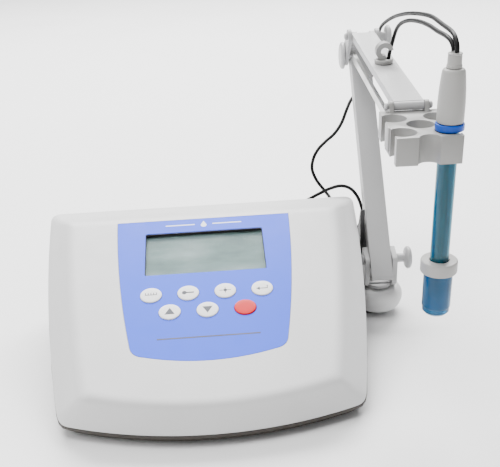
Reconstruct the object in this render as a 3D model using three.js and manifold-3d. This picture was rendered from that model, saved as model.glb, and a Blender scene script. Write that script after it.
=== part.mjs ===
// A benchtop pH meter: a wedge-shaped case with a keypad and display, and a two-link
// arm at its right side that carries a combination electrode over the bench.
// Millimetres, +X right, +Y to the back, +Z up.
import * as THREE from 'three';
import { mergeVertices } from 'three/addons/utils/BufferGeometryUtils.js';
import Module from 'manifold-3d';

const wasm = await Module();
wasm.setup();

// ---------------------------------------------------------------- driving dimensions
const DEGREES = Math.PI / 180;
const GAP = 0.3;                      // air left between touching pieces
const WALL = 2.6;                     // moulded wall thickness

// The object's middle on the bench, in the drawing's own coordinates.
const CENTRE = new THREE.Vector3(20.42, 7.09, 0);

// Case. The face is a plane that rises to the back.
const FACE_TILT = 18.6 * DEGREES;
const FACE_FRONT = { half: 84.7, y: -121.8, bulge: 11.5 };
const FACE_BACK = { half: 105.5, y: 39 };
const FACE_FRONT_Z = 34.6;
const FACE_SIDE_BULGE = 2.5;
const RIM_FRONT = { half: 103.8, y: -117, bulge: 21.5 };
const RIM_BACK = { half: 125.5, y: 67 };
const RIM_SIDE_BULGE = 4.5;
const RIM_FRONT_Z = 10;
const RIM_SLOPE = 0.402;
const FLOOR_FRONT = { half: 100.5, y: -114.5, bulge: 21 };
const FLOOR_BACK = { half: 115, y: 65.4 };
const FLOOR_Z = 3.5;                  // underside of the base
const LIP = 2;                        // band of the base that follows the rim

// Front label, display and keys, in the face's own coordinates (x, up the slope).
const LABEL = { topHalf: 68, bottomHalf: 53.8, top: 37, bottom: -97.5, depth: 0.5 };
const WINDOW = { width: 91.6, height: 45.4, depth: 3 };
const KEY = { rx: 7.9, ry: 7.1, proud: 0.9, pitch: 27, travel: 1 };
const KEY_ROW_1 = -43;
const KEY_ROW_2 = -60.2;
const BOARD_TOP = -7;                 // key board, below the face

const SCREWS = [
  { name: 'case_screw_front_left', x: -78, y: -95, top: 15 },
  { name: 'case_screw_front_right', x: 78, y: -95, top: 15 },
  { name: 'case_screw_rear_left', x: -95, y: 40, top: 60 },
  { name: 'case_screw_rear_right', x: 95, y: 40, top: 60 },
];
const FEET = [
  { name: 'foot_front_left', x: -86, y: -104 },
  { name: 'foot_front_right', x: 86, y: -104 },
  { name: 'foot_rear_left', x: -100, y: 50 },
  { name: 'foot_rear_right', x: 100, y: 52 },
];
const BRACKET_SCREWS = [
  { name: 'bracket_screw_front', x: 91, y: 16 },
  { name: 'bracket_screw_rear', x: 91, y: 32 },
];
const SOCKET_Z = 40;
const SOCKET_X = { electrode: 96, temperature: 70, power: 44 };

// Arm. It stands in its own frame: s across, t to the back, z up, from the swivel axis.
const SWIVEL = { x: 140.4, y: 24, turn: -1.4 * DEGREES };
const LEAN = 41.3 * DEGREES;          // lower arm, from vertical
const LOWER_PIVOT = { t: -3.9, z: 48.5 };
const LOWER_LENGTH = 183.7;
const ELBOW = {
  t: LOWER_PIVOT.t + LOWER_LENGTH * Math.sin(LEAN),
  z: LOWER_PIVOT.z + LOWER_LENGTH * Math.cos(LEAN),
};
const LOWER_LINK_OFFSET = 8.5;        // its pivots lie this far behind the arm's
const UPPER_PIVOT = { t: 100, z: 205.8 };
const HOLDER_PIVOT = { t: -78, z: 195.4 };
const UPPER_LINK_OFFSET = { t: 5.4, z: -17.2 };
const DROOP = Math.atan2(UPPER_PIVOT.z - HOLDER_PIVOT.z, UPPER_PIVOT.t - HOLDER_PIVOT.t);
const UPPER_LENGTH = Math.hypot(UPPER_PIVOT.t - HOLDER_PIVOT.t, UPPER_PIVOT.z - HOLDER_PIVOT.z);
const CHEEK = { inner: 10.1, outer: 13 };

const LEAD_CLIP = { s: 0, t: 8, lead: 3.5 };  // lead: how far right of its middle the lead enters

// Electrode holder and electrode, in the arm's frame.
const HOLDER = { s: 1, half: 19.8, rear: -77, front: -134, top: 192.1, bottom: 174.9 };
const HOLE = { radius: 8.6, side: 13.9, rearT: -93.4, midT: -107.8, frontT: -122.3 };
const ELECTRODE = { s: HOLDER.s + HOLE.side, t: HOLE.frontT, bodyRadius: 6 };

// Leads.
const LEAD_EXIT = { x: 129.5, y: 60, z: 47 };  // where the temperature lead leaves the bracket
const LEAD_DIAMETER = 2.8;
const LEAD_STEP = 10.4;               // length of one stretch of a lead's tube
const LEAD_STEPS_PER_POINT = 4;

// ---------------------------------------------------------------- materials
function paint(color, roughness, metalness = 0) {
  return new THREE.MeshStandardMaterial({ color, roughness, metalness });
}
const PAINT = {
  shell: () => paint(0xe2e2e0, 0.5),
  base: () => paint(0x2b2724, 0.6),
  rubber: () => paint(0x1c1c1c, 0.9),
  label: () => paint(0x86a9f5, 0.4),
  glass: () => paint(0xb4c6c6, 0.1),
  board: () => paint(0x2f6b45, 0.6),
  key: () => paint(0xf2f2f2, 0.4),
  redKey: () => paint(0xea5f5f, 0.4),
  steel: () => paint(0xb8b8b8, 0.3, 1),
  arm: () => paint(0xcfcfcd, 0.55),
  white: () => paint(0xececea, 0.45),
  ring: () => paint(0x1e78dc, 0.4),
  clear: () => paint(0x14b4d2, 0.1),
  bottle: () => paint(0x0a6eaa, 0.15),
  black: () => paint(0x141414, 0.5),
};

// ---------------------------------------------------------------- solids
function toSolid(geometry) {
  const bare = geometry.clone();
  bare.deleteAttribute('normal');
  bare.deleteAttribute('uv');
  const merged = mergeVertices(bare, 1e-4);
  return new wasm.Manifold(new wasm.Mesh({
    numProp: 3,
    vertProperties: new Float32Array(merged.attributes.position.array),
    triVerts: new Uint32Array(merged.index.array),
  }));
}

function toGeometry(solid) {
  const mesh = solid.getMesh();
  const geometry = new THREE.BufferGeometry();
  geometry.setAttribute('position', new THREE.BufferAttribute(mesh.vertProperties, 3));
  geometry.setIndex(new THREE.BufferAttribute(mesh.triVerts, 1));
  geometry.computeVertexNormals();
  return geometry;
}

function join(first, ...others) {
  return toGeometry(others.reduce((sum, other) => sum.add(toSolid(other)), toSolid(first)));
}

function cut(body, ...tools) {
  return toGeometry(tools.reduce((rest, tool) => rest.subtract(toSolid(tool)), toSolid(body)));
}

function common(first, second) {
  return toGeometry(toSolid(first).intersect(toSolid(second)));
}

// A box from its lowest to its highest corner.
function block(x0, x1, y0, y1, z0, z1) {
  const geometry = new THREE.BoxGeometry(x1 - x0, y1 - y0, z1 - z0);
  return geometry.translate((x0 + x1) / 2, (y0 + y1) / 2, (z0 + z1) / 2);
}

// An upright round bar.
function post(x, y, z0, z1, radius, sides = 16) {
  const geometry = new THREE.CylinderGeometry(radius, radius, z1 - z0, sides);
  return geometry.rotateX(Math.PI / 2).translate(x, y, (z0 + z1) / 2);
}

// A round bar along X.
function bar(x0, x1, y, z, radius, sides = 18) {
  const geometry = new THREE.CylinderGeometry(radius, radius, x1 - x0, sides);
  return geometry.rotateZ(Math.PI / 2).translate((x0 + x1) / 2, y, z);
}

// A round bar along Y.
function rod(y0, y1, x, z, radius, sides = 18) {
  return new THREE.CylinderGeometry(radius, radius, y1 - y0, sides).translate(x, (y0 + y1) / 2, z);
}

// A turned piece: [radius, height] pairs about an upright axis.
function turned(profile, sides = 24) {
  const points = profile.map(([radius, height]) => new THREE.Vector2(radius, height));
  if (THREE.ShapeUtils.area(points) < 0) points.reverse();
  return new THREE.LatheGeometry(points, sides).rotateX(Math.PI / 2);
}

// A plate across the arm: its outline in (t, z), from s0 to s1.
function plate(shape, s0, s1, curveSegments = 8) {
  const geometry = new THREE.ExtrudeGeometry(shape, {
    depth: s1 - s0, bevelEnabled: false, curveSegments,
  });
  const turn = new THREE.Matrix4().makeBasis(
    new THREE.Vector3(0, 1, 0), new THREE.Vector3(0, 0, 1), new THREE.Vector3(1, 0, 0));
  return geometry.applyMatrix4(turn).translate(s0, 0, 0);
}

// The outline of two round ends and the straight sides that touch both.
function hullOfCircles(a, b) {
  const angle = Math.atan2(b.z - a.z, b.t - a.t);
  const distance = Math.hypot(b.t - a.t, b.z - a.z);
  const spread = Math.acos((a.r - b.r) / distance);
  const shape = new THREE.Shape();
  shape.absarc(a.t, a.z, a.r, angle + spread, angle - spread + 2 * Math.PI, false);
  shape.absarc(b.t, b.z, b.r, angle - spread, angle + spread, false);
  shape.closePath();
  return shape;
}

function circle(t, z, r) {
  return { t, z, r };
}

// ---------------------------------------------------------------- case outlines
// Points around a wedge-shaped plan, anticlockwise: bulged front, bulged sides, straight back.
function planOutline(front, back, sideBulge, corner, grow = 0) {
  const fl = new THREE.Vector2(-front.half - grow, front.y - grow);
  const fr = new THREE.Vector2(front.half + grow, front.y - grow);
  const br = new THREE.Vector2(back.half + grow, back.y + grow);
  const bl = new THREE.Vector2(-back.half - grow, back.y + grow);
  const edges = [
    { from: fl, to: fr, bulge: front.bulge, steps: 10 },
    { from: fr, to: br, bulge: sideBulge, steps: 5 },
    { from: br, to: bl, bulge: 0, steps: 1 },
    { from: bl, to: fl, bulge: sideBulge, steps: 5 },
  ].map((edge) => {
    const along = edge.to.clone().sub(edge.from);
    const outward = new THREE.Vector2(along.y, -along.x).normalize();
    const middle = edge.from.clone().add(edge.to).multiplyScalar(0.5);
    const pull = middle.addScaledVector(outward, 2 * edge.bulge);
    const curve = new THREE.QuadraticBezierCurve(edge.from, pull, edge.to);
    return { curve, steps: edge.steps, trim: corner / along.length() };
  });
  const points = [];
  edges.forEach((edge, index) => {
    const next = edges[(index + 1) % edges.length];
    for (let step = 0; step <= edge.steps; step += 1) {
      const share = edge.trim + (1 - 2 * edge.trim) * (step / edge.steps);
      points.push(edge.curve.getPoint(share));
    }
    const start = edge.curve.getPoint(1 - edge.trim);
    const end = next.curve.getPoint(next.trim);
    const round = new THREE.QuadraticBezierCurve(start, edge.curve.v2, end);
    [1 / 3, 2 / 3].forEach((share) => points.push(round.getPoint(share)));
  });
  return points;
}

// A closed solid through rings of points, the first ring at the bottom.
function loft(rings) {
  const count = rings[0].length;
  const positions = rings.flat().flatMap((point) => [point.x, point.y, point.z]);
  const index = [];
  for (let ring = 0; ring + 1 < rings.length; ring += 1) {
    for (let step = 0; step < count; step += 1) {
      const a = ring * count + step;
      const b = ring * count + (step + 1) % count;
      index.push(a, b, b + count, a, b + count, a + count);
    }
  }
  [[rings[0], 0, true], [rings.at(-1), (rings.length - 1) * count, false]]
    .forEach(([ring, first, down]) => {
      const middle = positions.length / 3;
      const centre = ring.reduce((sum, point) => sum.add(point), new THREE.Vector3());
      centre.divideScalar(count);
      positions.push(centre.x, centre.y, centre.z);
      for (let step = 0; step < count; step += 1) {
        const a = first + step;
        const b = first + (step + 1) % count;
        index.push(middle, down ? b : a, down ? a : b);
      }
    });
  const geometry = new THREE.BufferGeometry();
  geometry.setAttribute('position', new THREE.Float32BufferAttribute(positions, 3));
  geometry.setIndex(index);
  geometry.computeVertexNormals();
  return geometry;
}

function ringAt(outline, height) {
  return outline.map((point) => new THREE.Vector3(point.x, point.y, height(point.y)));
}

function faceZ(y) {
  return FACE_FRONT_Z + Math.tan(FACE_TILT) * (y - FACE_FRONT.y);
}

function rimZ(y) {
  return RIM_FRONT_Z + RIM_SLOPE * Math.max(0, y - RIM_FRONT.y);
}

function faceOutline(grow = 0) {
  return planOutline(FACE_FRONT, FACE_BACK, FACE_SIDE_BULGE, 4, grow);
}

function rimOutline(grow = 0) {
  return planOutline(RIM_FRONT, RIM_BACK, RIM_SIDE_BULGE, 8, grow);
}

function floorOutline(grow = 0) {
  return planOutline(FLOOR_FRONT, FLOOR_BACK, RIM_SIDE_BULGE, 8, grow);
}

// From the face's own frame (x, up the slope, outward) into the case's frame.
function ontoFace(geometry) {
  return geometry.rotateX(FACE_TILT).translate(0, 0, faceZ(0));
}

// A flat shape in the face's frame, from one depth to another.
function facePlate(shape, low, high, curveSegments = 4) {
  const geometry = new THREE.ExtrudeGeometry(shape, {
    depth: high - low, bevelEnabled: false, curveSegments,
  });
  return ontoFace(geometry.translate(0, 0, low));
}

function roundedRectangle(width, height, radius) {
  const x = width / 2;
  const y = height / 2;
  const shape = new THREE.Shape();
  shape.moveTo(-x + radius, -y);
  shape.lineTo(x - radius, -y);
  shape.absarc(x - radius, -y + radius, radius, -Math.PI / 2, 0, false);
  shape.lineTo(x, y - radius);
  shape.absarc(x - radius, y - radius, radius, 0, Math.PI / 2, false);
  shape.lineTo(-x + radius, y);
  shape.absarc(-x + radius, y - radius, radius, Math.PI / 2, Math.PI, false);
  shape.lineTo(-x, -y + radius);
  shape.absarc(-x + radius, -y + radius, radius, Math.PI, 1.5 * Math.PI, false);
  return shape;
}

function ellipse(x, y, rx, ry) {
  const shape = new THREE.Shape();
  shape.absellipse(x, y, rx, ry, 0, 2 * Math.PI, false);
  return shape;
}

// The label's outline: straight top, sides and bottom bowed out, rounded lower corners.
function labelOutline(grow = 0) {
  const { topHalf, bottomHalf, top, bottom } = LABEL;
  const corner = 9;
  const sideBow = 5;
  const bottomBow = 14;
  const upper = topHalf + grow;
  const lower = bottomHalf + grow;
  const high = top + grow;
  const low = bottom - grow;
  const shape = new THREE.Shape();
  shape.moveTo(-upper, high);
  shape.quadraticCurveTo(-(upper + lower) / 2 - sideBow, (high + low) / 2, -lower - 1, low + corner);
  shape.quadraticCurveTo(-lower, low, -lower + corner, low - 1.5);
  shape.quadraticCurveTo(0, low - bottomBow, lower - corner, low - 1.5);
  shape.quadraticCurveTo(lower, low, lower + 1, low + corner);
  shape.quadraticCurveTo((upper + lower) / 2 + sideBow, (high + low) / 2, upper, high);
  shape.closePath();
  return shape;
}

const KEYS = [
  { name: 'key_ph_mv', x: -1.5 * KEY.pitch, v: KEY_ROW_1 },
  { name: 'key_temp', x: -0.5 * KEY.pitch, v: KEY_ROW_1 },
  { name: 'key_calib', x: 0.5 * KEY.pitch, v: KEY_ROW_1 },
  { name: 'key_enter', x: 1.5 * KEY.pitch, v: KEY_ROW_1 },
  { name: 'key_up', x: -KEY.pitch, v: KEY_ROW_2 },
  { name: 'key_down', x: 0, v: KEY_ROW_2 },
  { name: 'key_power', x: KEY.pitch, v: KEY_ROW_2, red: true },
];

// ---------------------------------------------------------------- case pieces
function topShell() {
  const outer = loft([ringAt(rimOutline(), rimZ), ringAt(faceOutline(), faceZ)]);
  const drop = WALL / Math.cos(FACE_TILT);
  const inner = loft([
    ringAt(rimOutline(-WALL), (y) => rimZ(y) - 12),
    ringAt(rimOutline(-WALL), (y) => rimZ(y) - 1.2),
    ringAt(faceOutline(-1.6), (y) => faceZ(y) - drop),
  ]);
  const bosses = SCREWS.map(({ x, y, top }) => post(x, y, top + GAP, 120, 4.5));
  const bezel = cut(
    facePlate(roundedRectangle(WINDOW.width + 4, WINDOW.height + 4, 3), -WINDOW.depth, -1),
    facePlate(roundedRectangle(WINDOW.width, WINDOW.height, 1.5), -20, 5),
  );
  const boardPosts = [[-72, -30], [72, -30], [-62, -76], [62, -76]].map(([x, v]) => (
    ontoFace(post(x, v, BOARD_TOP + GAP, -1.5, 2.6, 16))));
  const ribs = bosses.map((boss) => common(boss, outer));
  const shell = join(cut(outer, inner), ...ribs, bezel, ...boardPosts);
  return cut(
    shell,
    facePlate(labelOutline(GAP), -LABEL.depth - GAP, 5, 9),
    facePlate(roundedRectangle(WINDOW.width, WINDOW.height, 1.5), -20, 5),
    ...KEYS.map(({ x, v }) => facePlate(ellipse(x, v, KEY.rx + GAP, KEY.ry + GAP), -20, 5, 9)),
    ...SCREWS.map(({ x, y, top }) => post(x, y, top - 1, top + 11, 1.9, 16)),
  );
}

function basePan() {
  const lipTop = (y) => rimZ(y) - GAP;
  const lipFoot = (y) => rimZ(y) - GAP - LIP;
  const outer = loft([
    ringAt(floorOutline(), () => FLOOR_Z),
    ringAt(rimOutline(-0.8), (y) => lipFoot(y) - 0.4),
    ringAt(rimOutline(0.3), lipFoot),
    ringAt(rimOutline(0.3), lipTop),
  ]);
  const inner = loft([
    ringAt(floorOutline(-WALL), () => FLOOR_Z + WALL),
    ringAt(rimOutline(-WALL - 0.8), (y) => Math.max(lipFoot(y) - 0.4, FLOOR_Z + WALL + 0.1)),
    ringAt(rimOutline(-WALL - 0.8), (y) => lipTop(y) + 5),
  ]);
  const bosses = SCREWS.map(({ x, y, top }) => post(x, y, FLOOR_Z + 1, top, 5.5));
  const boardPosts = [[-70, -34], [70, -34], [-70, 44], [70, 44]].map(([x, y]) => (
    post(x, y, FLOOR_Z + 1, 15, 3.2, 16)));
  const pan = join(cut(outer, inner), ...bosses, ...boardPosts);
  return cut(
    pan,
    ...SCREWS.map(({ x, y, top }) => post(x, y, 0, top + 1, 1.9, 16)),
    ...SCREWS.map(({ x, y }) => post(x, y, 0, 9, 4)),
    ...FEET.map(({ x, y }) => post(x, y, 0, 12, 2.3, 16)),
    ...BRACKET_SCREWS.map(({ x, y }) => post(x, y, 0, 12, 1.9, 16)),
    rod(59, 71, SOCKET_X.electrode, SOCKET_Z, 5.3, 20),
    rod(59, 71, SOCKET_X.temperature, SOCKET_Z, 4.3, 20),
    rod(59, 71, SOCKET_X.power, SOCKET_Z, 5.3, 20),
  );
}

function foot({ x, y }) {
  const profile = [[0, 0], [7, 0], [8, 0.8], [8, 3.2], [2, 3.2], [2, 7.5], [0, 7.5]];
  return turned(profile, 20).translate(x, y, 0);
}

function caseScrew({ x, y, top }) {
  const profile = [[0, 7.4], [1.4, 6.6], [3.4, 6.2], [3.6, 8.7], [1.6, 8.7], [1.6, top + 9], [0, top + 10]];
  return turned(profile, 12).translate(x, y, 0);
}

function frontLabel() {
  const shape = labelOutline();
  shape.holes.push(roundedRectangle(WINDOW.width, WINDOW.height, 1.5));
  KEYS.forEach(({ x, v }) => shape.holes.push(ellipse(x, v, KEY.rx + GAP, KEY.ry + GAP)));
  return facePlate(shape, -LABEL.depth, 0, 9);
}

function displayWindow() {
  const shape = roundedRectangle(WINDOW.width + 3, WINDOW.height + 3, 2);
  return facePlate(shape, -WINDOW.depth - GAP - 1, -WINDOW.depth - GAP, 3);
}

function displayModule() {
  const glass = ontoFace(block(-50, 50, -26, 26, -6, -4.6));
  const back = ontoFace(block(-47, 47, -24, 24, -8.4, -5.9));
  return join(glass, back);
}

function keyBoard() {
  const board = ontoFace(block(-77, 77, -80, -27.5, BOARD_TOP - 1.6, BOARD_TOP));
  const switches = KEYS.map(({ x, v }) => ontoFace(post(x, v, BOARD_TOP - 0.5, -5.4, 3, 16)));
  return join(board, ...switches);
}

function mainBoard() {
  const board = block(-78, 78, -40, 50, 15.3, 16.9);
  return join(
    board,
    block(-30, -12, -18, 0, 16.5, 19.5),
    block(48, 76, 5, 40, 16.5, 29),
    block(-60, -48, 20, 32, 16.5, 22),
    post(-30, 30, 16.5, 30, 5),
    post(-14, 34, 16.5, 27, 4),
    block(0, 14, 18, 26, 16.5, 24),
  );
}

function key({ x, v }) {
  const cap = facePlate(ellipse(x, v, KEY.rx, KEY.ry), -3.6, KEY.proud - 0.35, 9);
  const crown = facePlate(ellipse(x, v, KEY.rx - 0.5, KEY.ry - 0.5), -1, KEY.proud, 9);
  const flange = facePlate(ellipse(x, v, KEY.rx + 1.3, KEY.ry + 1.3), -4.1, -WALL - GAP, 9);
  return join(cap, crown, flange);
}

function bracketScrew({ x, y }) {
  return turned([[0, 0.1], [3, 0.1], [3, 0.4], [1.6, 0.4], [1.6, 8], [0, 8.8]], 12).translate(x, y, 0);
}

// A round socket through the rear wall, its axis along Y.
function rearPiece(profile, x, sides = 20) {
  return turned(profile, sides).rotateX(-Math.PI / 2).translate(x, 0, SOCKET_Z);
}

function electrodeSocket() {
  const profile = [
    [0, 52], [3, 52], [3, 56], [5, 56], [5, 67.2], [7.8, 67.2], [7.8, 69.2], [4.8, 69.2],
    [4.8, 80], [3.9, 80], [3.9, 71], [1.2, 71], [1.2, 78], [0, 78],
  ];
  const lugs = [-1, 1].map((side) => (
    bar(-0.6, 0.6, 76, SOCKET_Z, 0.9, 12).translate(SOCKET_X.electrode + 5.1 * side, 0, 0)));
  return join(rearPiece(profile, SOCKET_X.electrode), ...lugs);
}

function temperatureSocket() {
  const profile = [
    [0, 54], [4, 54], [4, 67.2], [6, 67.2], [6, 69], [3.9, 69], [3.9, 76], [2.4, 76], [2.4, 60],
    [0, 60],
  ];
  return rearPiece(profile, SOCKET_X.temperature);
}

function powerSocket() {
  const profile = [
    [0, 52], [5, 52], [5, 67.2], [6.4, 67.2], [6.4, 69], [3.1, 69], [3.1, 58], [1, 58], [1, 67.5],
    [0, 67.5],
  ];
  return rearPiece(profile, SOCKET_X.power);
}

// The bracket that ties the arm's foot to the case: a tongue under the base and a fin
// that stands between the case and the arm.
function armBracket() {
  const tongue = join(
    block(84, 114, SWIVEL.y - 13, SWIVEL.y + 13, 0.6, 3.1),
    block(112, SWIVEL.x, SWIVEL.y - 8, SWIVEL.y + 8, 0.6, 3.1),
  );
  const wing = block(112, SWIVEL.x - 9.2, SWIVEL.y, 60, 0.6, 3.1);
  const pad = post(SWIVEL.x, SWIVEL.y, 0.6, 3.1, 9);
  const fin = new THREE.Shape();
  fin.moveTo(44, 0.6);
  fin.lineTo(60, 0.6);
  fin.lineTo(60, 30);
  fin.quadraticCurveTo(57, 55, 50, 64);
  fin.lineTo(43, 79);
  fin.quadraticCurveTo(40.5, 86, 38.5, 84);
  fin.lineTo(38.5, 27);
  fin.lineTo(44, 24.8);
  fin.closePath();
  const upright = plate(fin, SWIVEL.x - 12.6, SWIVEL.x - 9.2, 4);
  const web = new THREE.Shape();
  web.moveTo(42, 27);
  web.lineTo(60, 27);
  web.lineTo(60, 66);
  web.lineTo(42, 50);
  web.closePath();
  const leadExit = rod(50, LEAD_EXIT.y, LEAD_EXIT.x, LEAD_EXIT.z, 2.8, 16);
  return cut(
    join(tongue, wing, pad, upright, plate(web, SWIVEL.x - 9.4, SWIVEL.x - 4.8, 2), leadExit),
    ...BRACKET_SCREWS.map(({ x, y }) => post(x, y, -1, 5, 1.9, 16)),
  );
}

// ---------------------------------------------------------------- arm pieces
function armBase() {
  const profile = [
    [0, 3.4], [13, 3.4], [16.5, 5], [19, 8.5], [20.3, 12.5], [20.5, 16], [19.9, 19], [18.2, 21.8],
    [15.5, 23.5], [5.4, 23.5], [5.4, 9], [0, 9],
  ];
  return turned(profile, 32);
}

function swivelFork() {
  const ear = new THREE.Shape();
  ear.moveTo(-5.5, 25);
  ear.lineTo(8, 25);
  ear.lineTo(6.6, 52.5);
  ear.quadraticCurveTo(6.4, 56, 3, 55.2);
  ear.lineTo(-8, 52);
  ear.quadraticCurveTo(-11, 51, -11, 48);
  ear.lineTo(-11, 31);
  ear.quadraticCurveTo(-11, 29, -9.6, 28);
  ear.closePath();
  const lug = hullOfCircles(
    circle(LOWER_PIVOT.t + LOWER_LINK_OFFSET + 3, 28, 4),
    circle(LOWER_PIVOT.t + LOWER_LINK_OFFSET, LOWER_PIVOT.z, 2.8),
  );
  const spigot = turned([[0, 9.4], [4.2, 9.4], [5, 10.4], [5, 24], [11, 24], [11, 27], [0, 27]], 20);
  const fork = join(
    spigot,
    block(-12.3, 13.6, -6, 11, 25, 28),
    plate(ear, -12.3, -8.8, 5),
    plate(ear, 9.6, 13.6, 5),
    plate(lug, -5.8, -3.2, 6),
    bar(-3.4, -0.2, LOWER_PIVOT.t + LOWER_LINK_OFFSET, LOWER_PIVOT.z, 1.4, 12),
  );
  return cut(fork, bar(-20, 20, LOWER_PIVOT.t, LOWER_PIVOT.z, 2.8, 20));
}

// Lays out a piece of the lower arm: x across, y off its back, z along it from the pivot.
function alongLowerArm(geometry) {
  return geometry.rotateX(-LEAN).translate(0, LOWER_PIVOT.t, LOWER_PIVOT.z);
}

function lowerArm() {
  const half = 8.5;
  const body = join(
    block(-half, half, -6.5, 6.5, -8, LOWER_LENGTH),
    block(-half, half, -6.5, -4.3, -16, 0),
    bar(-half, half, -3.6, -16, 2.9, 20),
    bar(-half, half, 0, LOWER_LENGTH, 6.5, 24),
  );
  return alongLowerArm(cut(
    body,
    block(-6.3, 6.3, -4.3, 9, -20, 200),
    bar(-20, 20, 0, 0, 2.9, 20),
    bar(-20, 20, 0, LOWER_LENGTH, 2.9, 20),
  ));
}

function lowerLink() {
  const lowEnd = circle(0, 0, 3);
  const highEnd = circle(0, LOWER_LENGTH, 3);
  const strip = plate(hullOfCircles(lowEnd, highEnd), -2.9, -0.5, 6);
  const link = cut(strip, bar(-8, 8, 0, 0, 1.8, 12), bar(-8, 8, 0, LOWER_LENGTH, 1.9, 12));
  return alongLowerArm(link).translate(0, LOWER_LINK_OFFSET, 0);
}

// The clamp knob of the lower hinge, in one piece with its bolt.
function lowerKnob() {
  const profile = [
    [0, -15], [3.6, -15], [4.2, -14.2], [4.2, -12.7], [2.5, -12.7], [2.5, 14], [3.6, 14],
    [3.4, 20.4], [7.6, 20.8], [9.1, 22], [9.1, 24], [7.6, 25.3], [0, 25.8],
  ];
  return turned(profile, 28).rotateY(Math.PI / 2).translate(0, LOWER_PIVOT.t, LOWER_PIVOT.z);
}

function elbowBlock() {
  const cheek = hullOfCircles(
    circle(ELBOW.t, ELBOW.z, 8.5),
    circle(UPPER_PIVOT.t, UPPER_PIVOT.z - 1, 6.6),
  );
  const towards = Math.atan2(UPPER_PIVOT.z - ELBOW.z, UPPER_PIVOT.t - ELBOW.t);
  const bridge = block(-11, 11, 11.5, 17.5, -5.5, 3.3).rotateX(towards)
    .translate(0, ELBOW.t, ELBOW.z);
  const bridgePoint = circle(ELBOW.t - 9.5, ELBOW.z + 11.5, 2.6);
  const bend = circle(ELBOW.t + 4, ELBOW.z + 12.5, 2.4);
  const linkPin = circle(ELBOW.t + LOWER_LINK_OFFSET, ELBOW.z, 2.8);
  const upperLink = {
    t: UPPER_PIVOT.t + UPPER_LINK_OFFSET.t,
    z: UPPER_PIVOT.z + UPPER_LINK_OFFSET.z,
  };
  const cablePost = turned([
    [0, 12], [4.3, 12], [4.3, 18.6], [8.6, 18.9], [9.8, 20.2], [9.6, 21.6], [7.4, 23], [0, 23.6],
  ], 24).rotateY(Math.PI / 2).translate(0, UPPER_PIVOT.t, UPPER_PIVOT.z - 1.8);
  const body = join(
    bridge,
    plate(cheek, -CHEEK.outer, -CHEEK.inner, 10),
    plate(cheek, CHEEK.inner, CHEEK.outer, 10),
    plate(hullOfCircles(bridgePoint, bend), -5.8, -3.2, 5),
    plate(hullOfCircles(bend, linkPin), -5.8, -3.2, 5),
    bar(-3.4, -0.2, linkPin.t, linkPin.z, 1.4, 12),
    bar(-CHEEK.inner - 0.5, -5.2, upperLink.t, upperLink.z, 1.5, 12),
    cablePost,
  );
  return cut(
    body,
    bar(-20, 14, ELBOW.t, ELBOW.z, 2.9, 20),
    bar(-20, 12.5, UPPER_PIVOT.t, UPPER_PIVOT.z, 2.4, 20),
  );
}

function elbowPin() {
  const profile = [
    [0, -16.8], [9.6, -16.8], [11.3, -15.6], [11.3, -13.4], [2.6, -13.4], [2.6, 13.4], [0, 13.4],
  ];
  return turned(profile, 28).rotateY(Math.PI / 2).translate(0, ELBOW.t, ELBOW.z);
}

function upperHingePin() {
  const profile = [
    [0, -15.9], [2.1, -15.6], [3, -14.3], [2, -13.2], [2, 12.2], [0, 12.2],
  ];
  return turned(profile, 20).rotateY(Math.PI / 2).translate(0, UPPER_PIVOT.t, UPPER_PIVOT.z);
}

// Lays out a piece of the upper arm: x across, y forward along it from its pivot, z up off it.
function alongUpperArm(geometry) {
  return geometry.rotateZ(Math.PI).rotateX(DROOP).translate(0, UPPER_PIVOT.t, UPPER_PIVOT.z);
}

function upperArm() {
  const half = 9.75;
  const rib = new THREE.Shape();
  rib.moveTo(16, -10.6);
  rib.lineTo(UPPER_LENGTH - 17, -10.6);
  rib.lineTo(UPPER_LENGTH - 7, -5);
  rib.lineTo(UPPER_LENGTH - 7, 2);
  rib.lineTo(16, 2);
  rib.closePath();
  const body = join(
    block(-half, half, 1, UPPER_LENGTH - 1, 0.9, 2.9),
    plate(rib, -half, -7.9, 2),
    block(7.9, half, 5, UPPER_LENGTH - 4, -2.2, 2),
    bar(-half, -5.2, 0, 0, 3.6),
    bar(5.2, half, 0, 0, 3.6),
    bar(-half, half, UPPER_LENGTH, 0, 2.8),
    block(-8.5, 8.5, 60, 64, -10.5, 1.5),
    block(-8.5, 8.5, 150, 154, -10.5, 1.5),
  );
  return alongUpperArm(cut(
    body,
    bar(-20, 20, 0, 0, 2.3, 20),
    bar(-20, 20, UPPER_LENGTH, 0, 1.9, 20),
    block(3.4, 10, 55, 70, -12, -2.2),
    block(3.4, 10, 145, 158, -12, -2.2),
    post(-LEAD_CLIP.lead - 0.2, UPPER_PIVOT.t - LEAD_CLIP.t, -2, 5, 2.5),
  ));
}

// The spring that carries part of the upper arm's weight, held between the arm's two ribs.
function balanceSpring() {
  const turns = 10;
  const start = 82;
  const pitch = 6.4;
  const end = start + turns * pitch;
  const profile = [[0, 64.3], [1, 64.3], [1, start]];
  for (let turn = 0; turn < turns; turn += 1) {
    profile.push([2.2, start + turn * pitch], [3.4, start + (turn + 0.5) * pitch]);
  }
  profile.push([2.2, end], [1, end], [1, 149.7], [0, 149.7]);
  const coil = turned(profile, 14).rotateX(-Math.PI / 2);
  return alongUpperArm(coil.translate(-2.5, 0, -6.6));
}

function upperLink() {
  const nearEnd = circle(0, 0, 2.9);
  const farEnd = circle(-UPPER_LENGTH * Math.cos(DROOP), -UPPER_LENGTH * Math.sin(DROOP), 2.9);
  const strip = plate(hullOfCircles(nearEnd, farEnd), -8.4, -5.5, 6);
  const link = cut(
    strip,
    bar(-12, 0, nearEnd.t, nearEnd.z, 1.9, 12),
    bar(-12, 0, farEnd.t, farEnd.z, 2, 12),
  );
  return link.translate(
    0, UPPER_PIVOT.t + UPPER_LINK_OFFSET.t, UPPER_PIVOT.z + UPPER_LINK_OFFSET.z);
}

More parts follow.
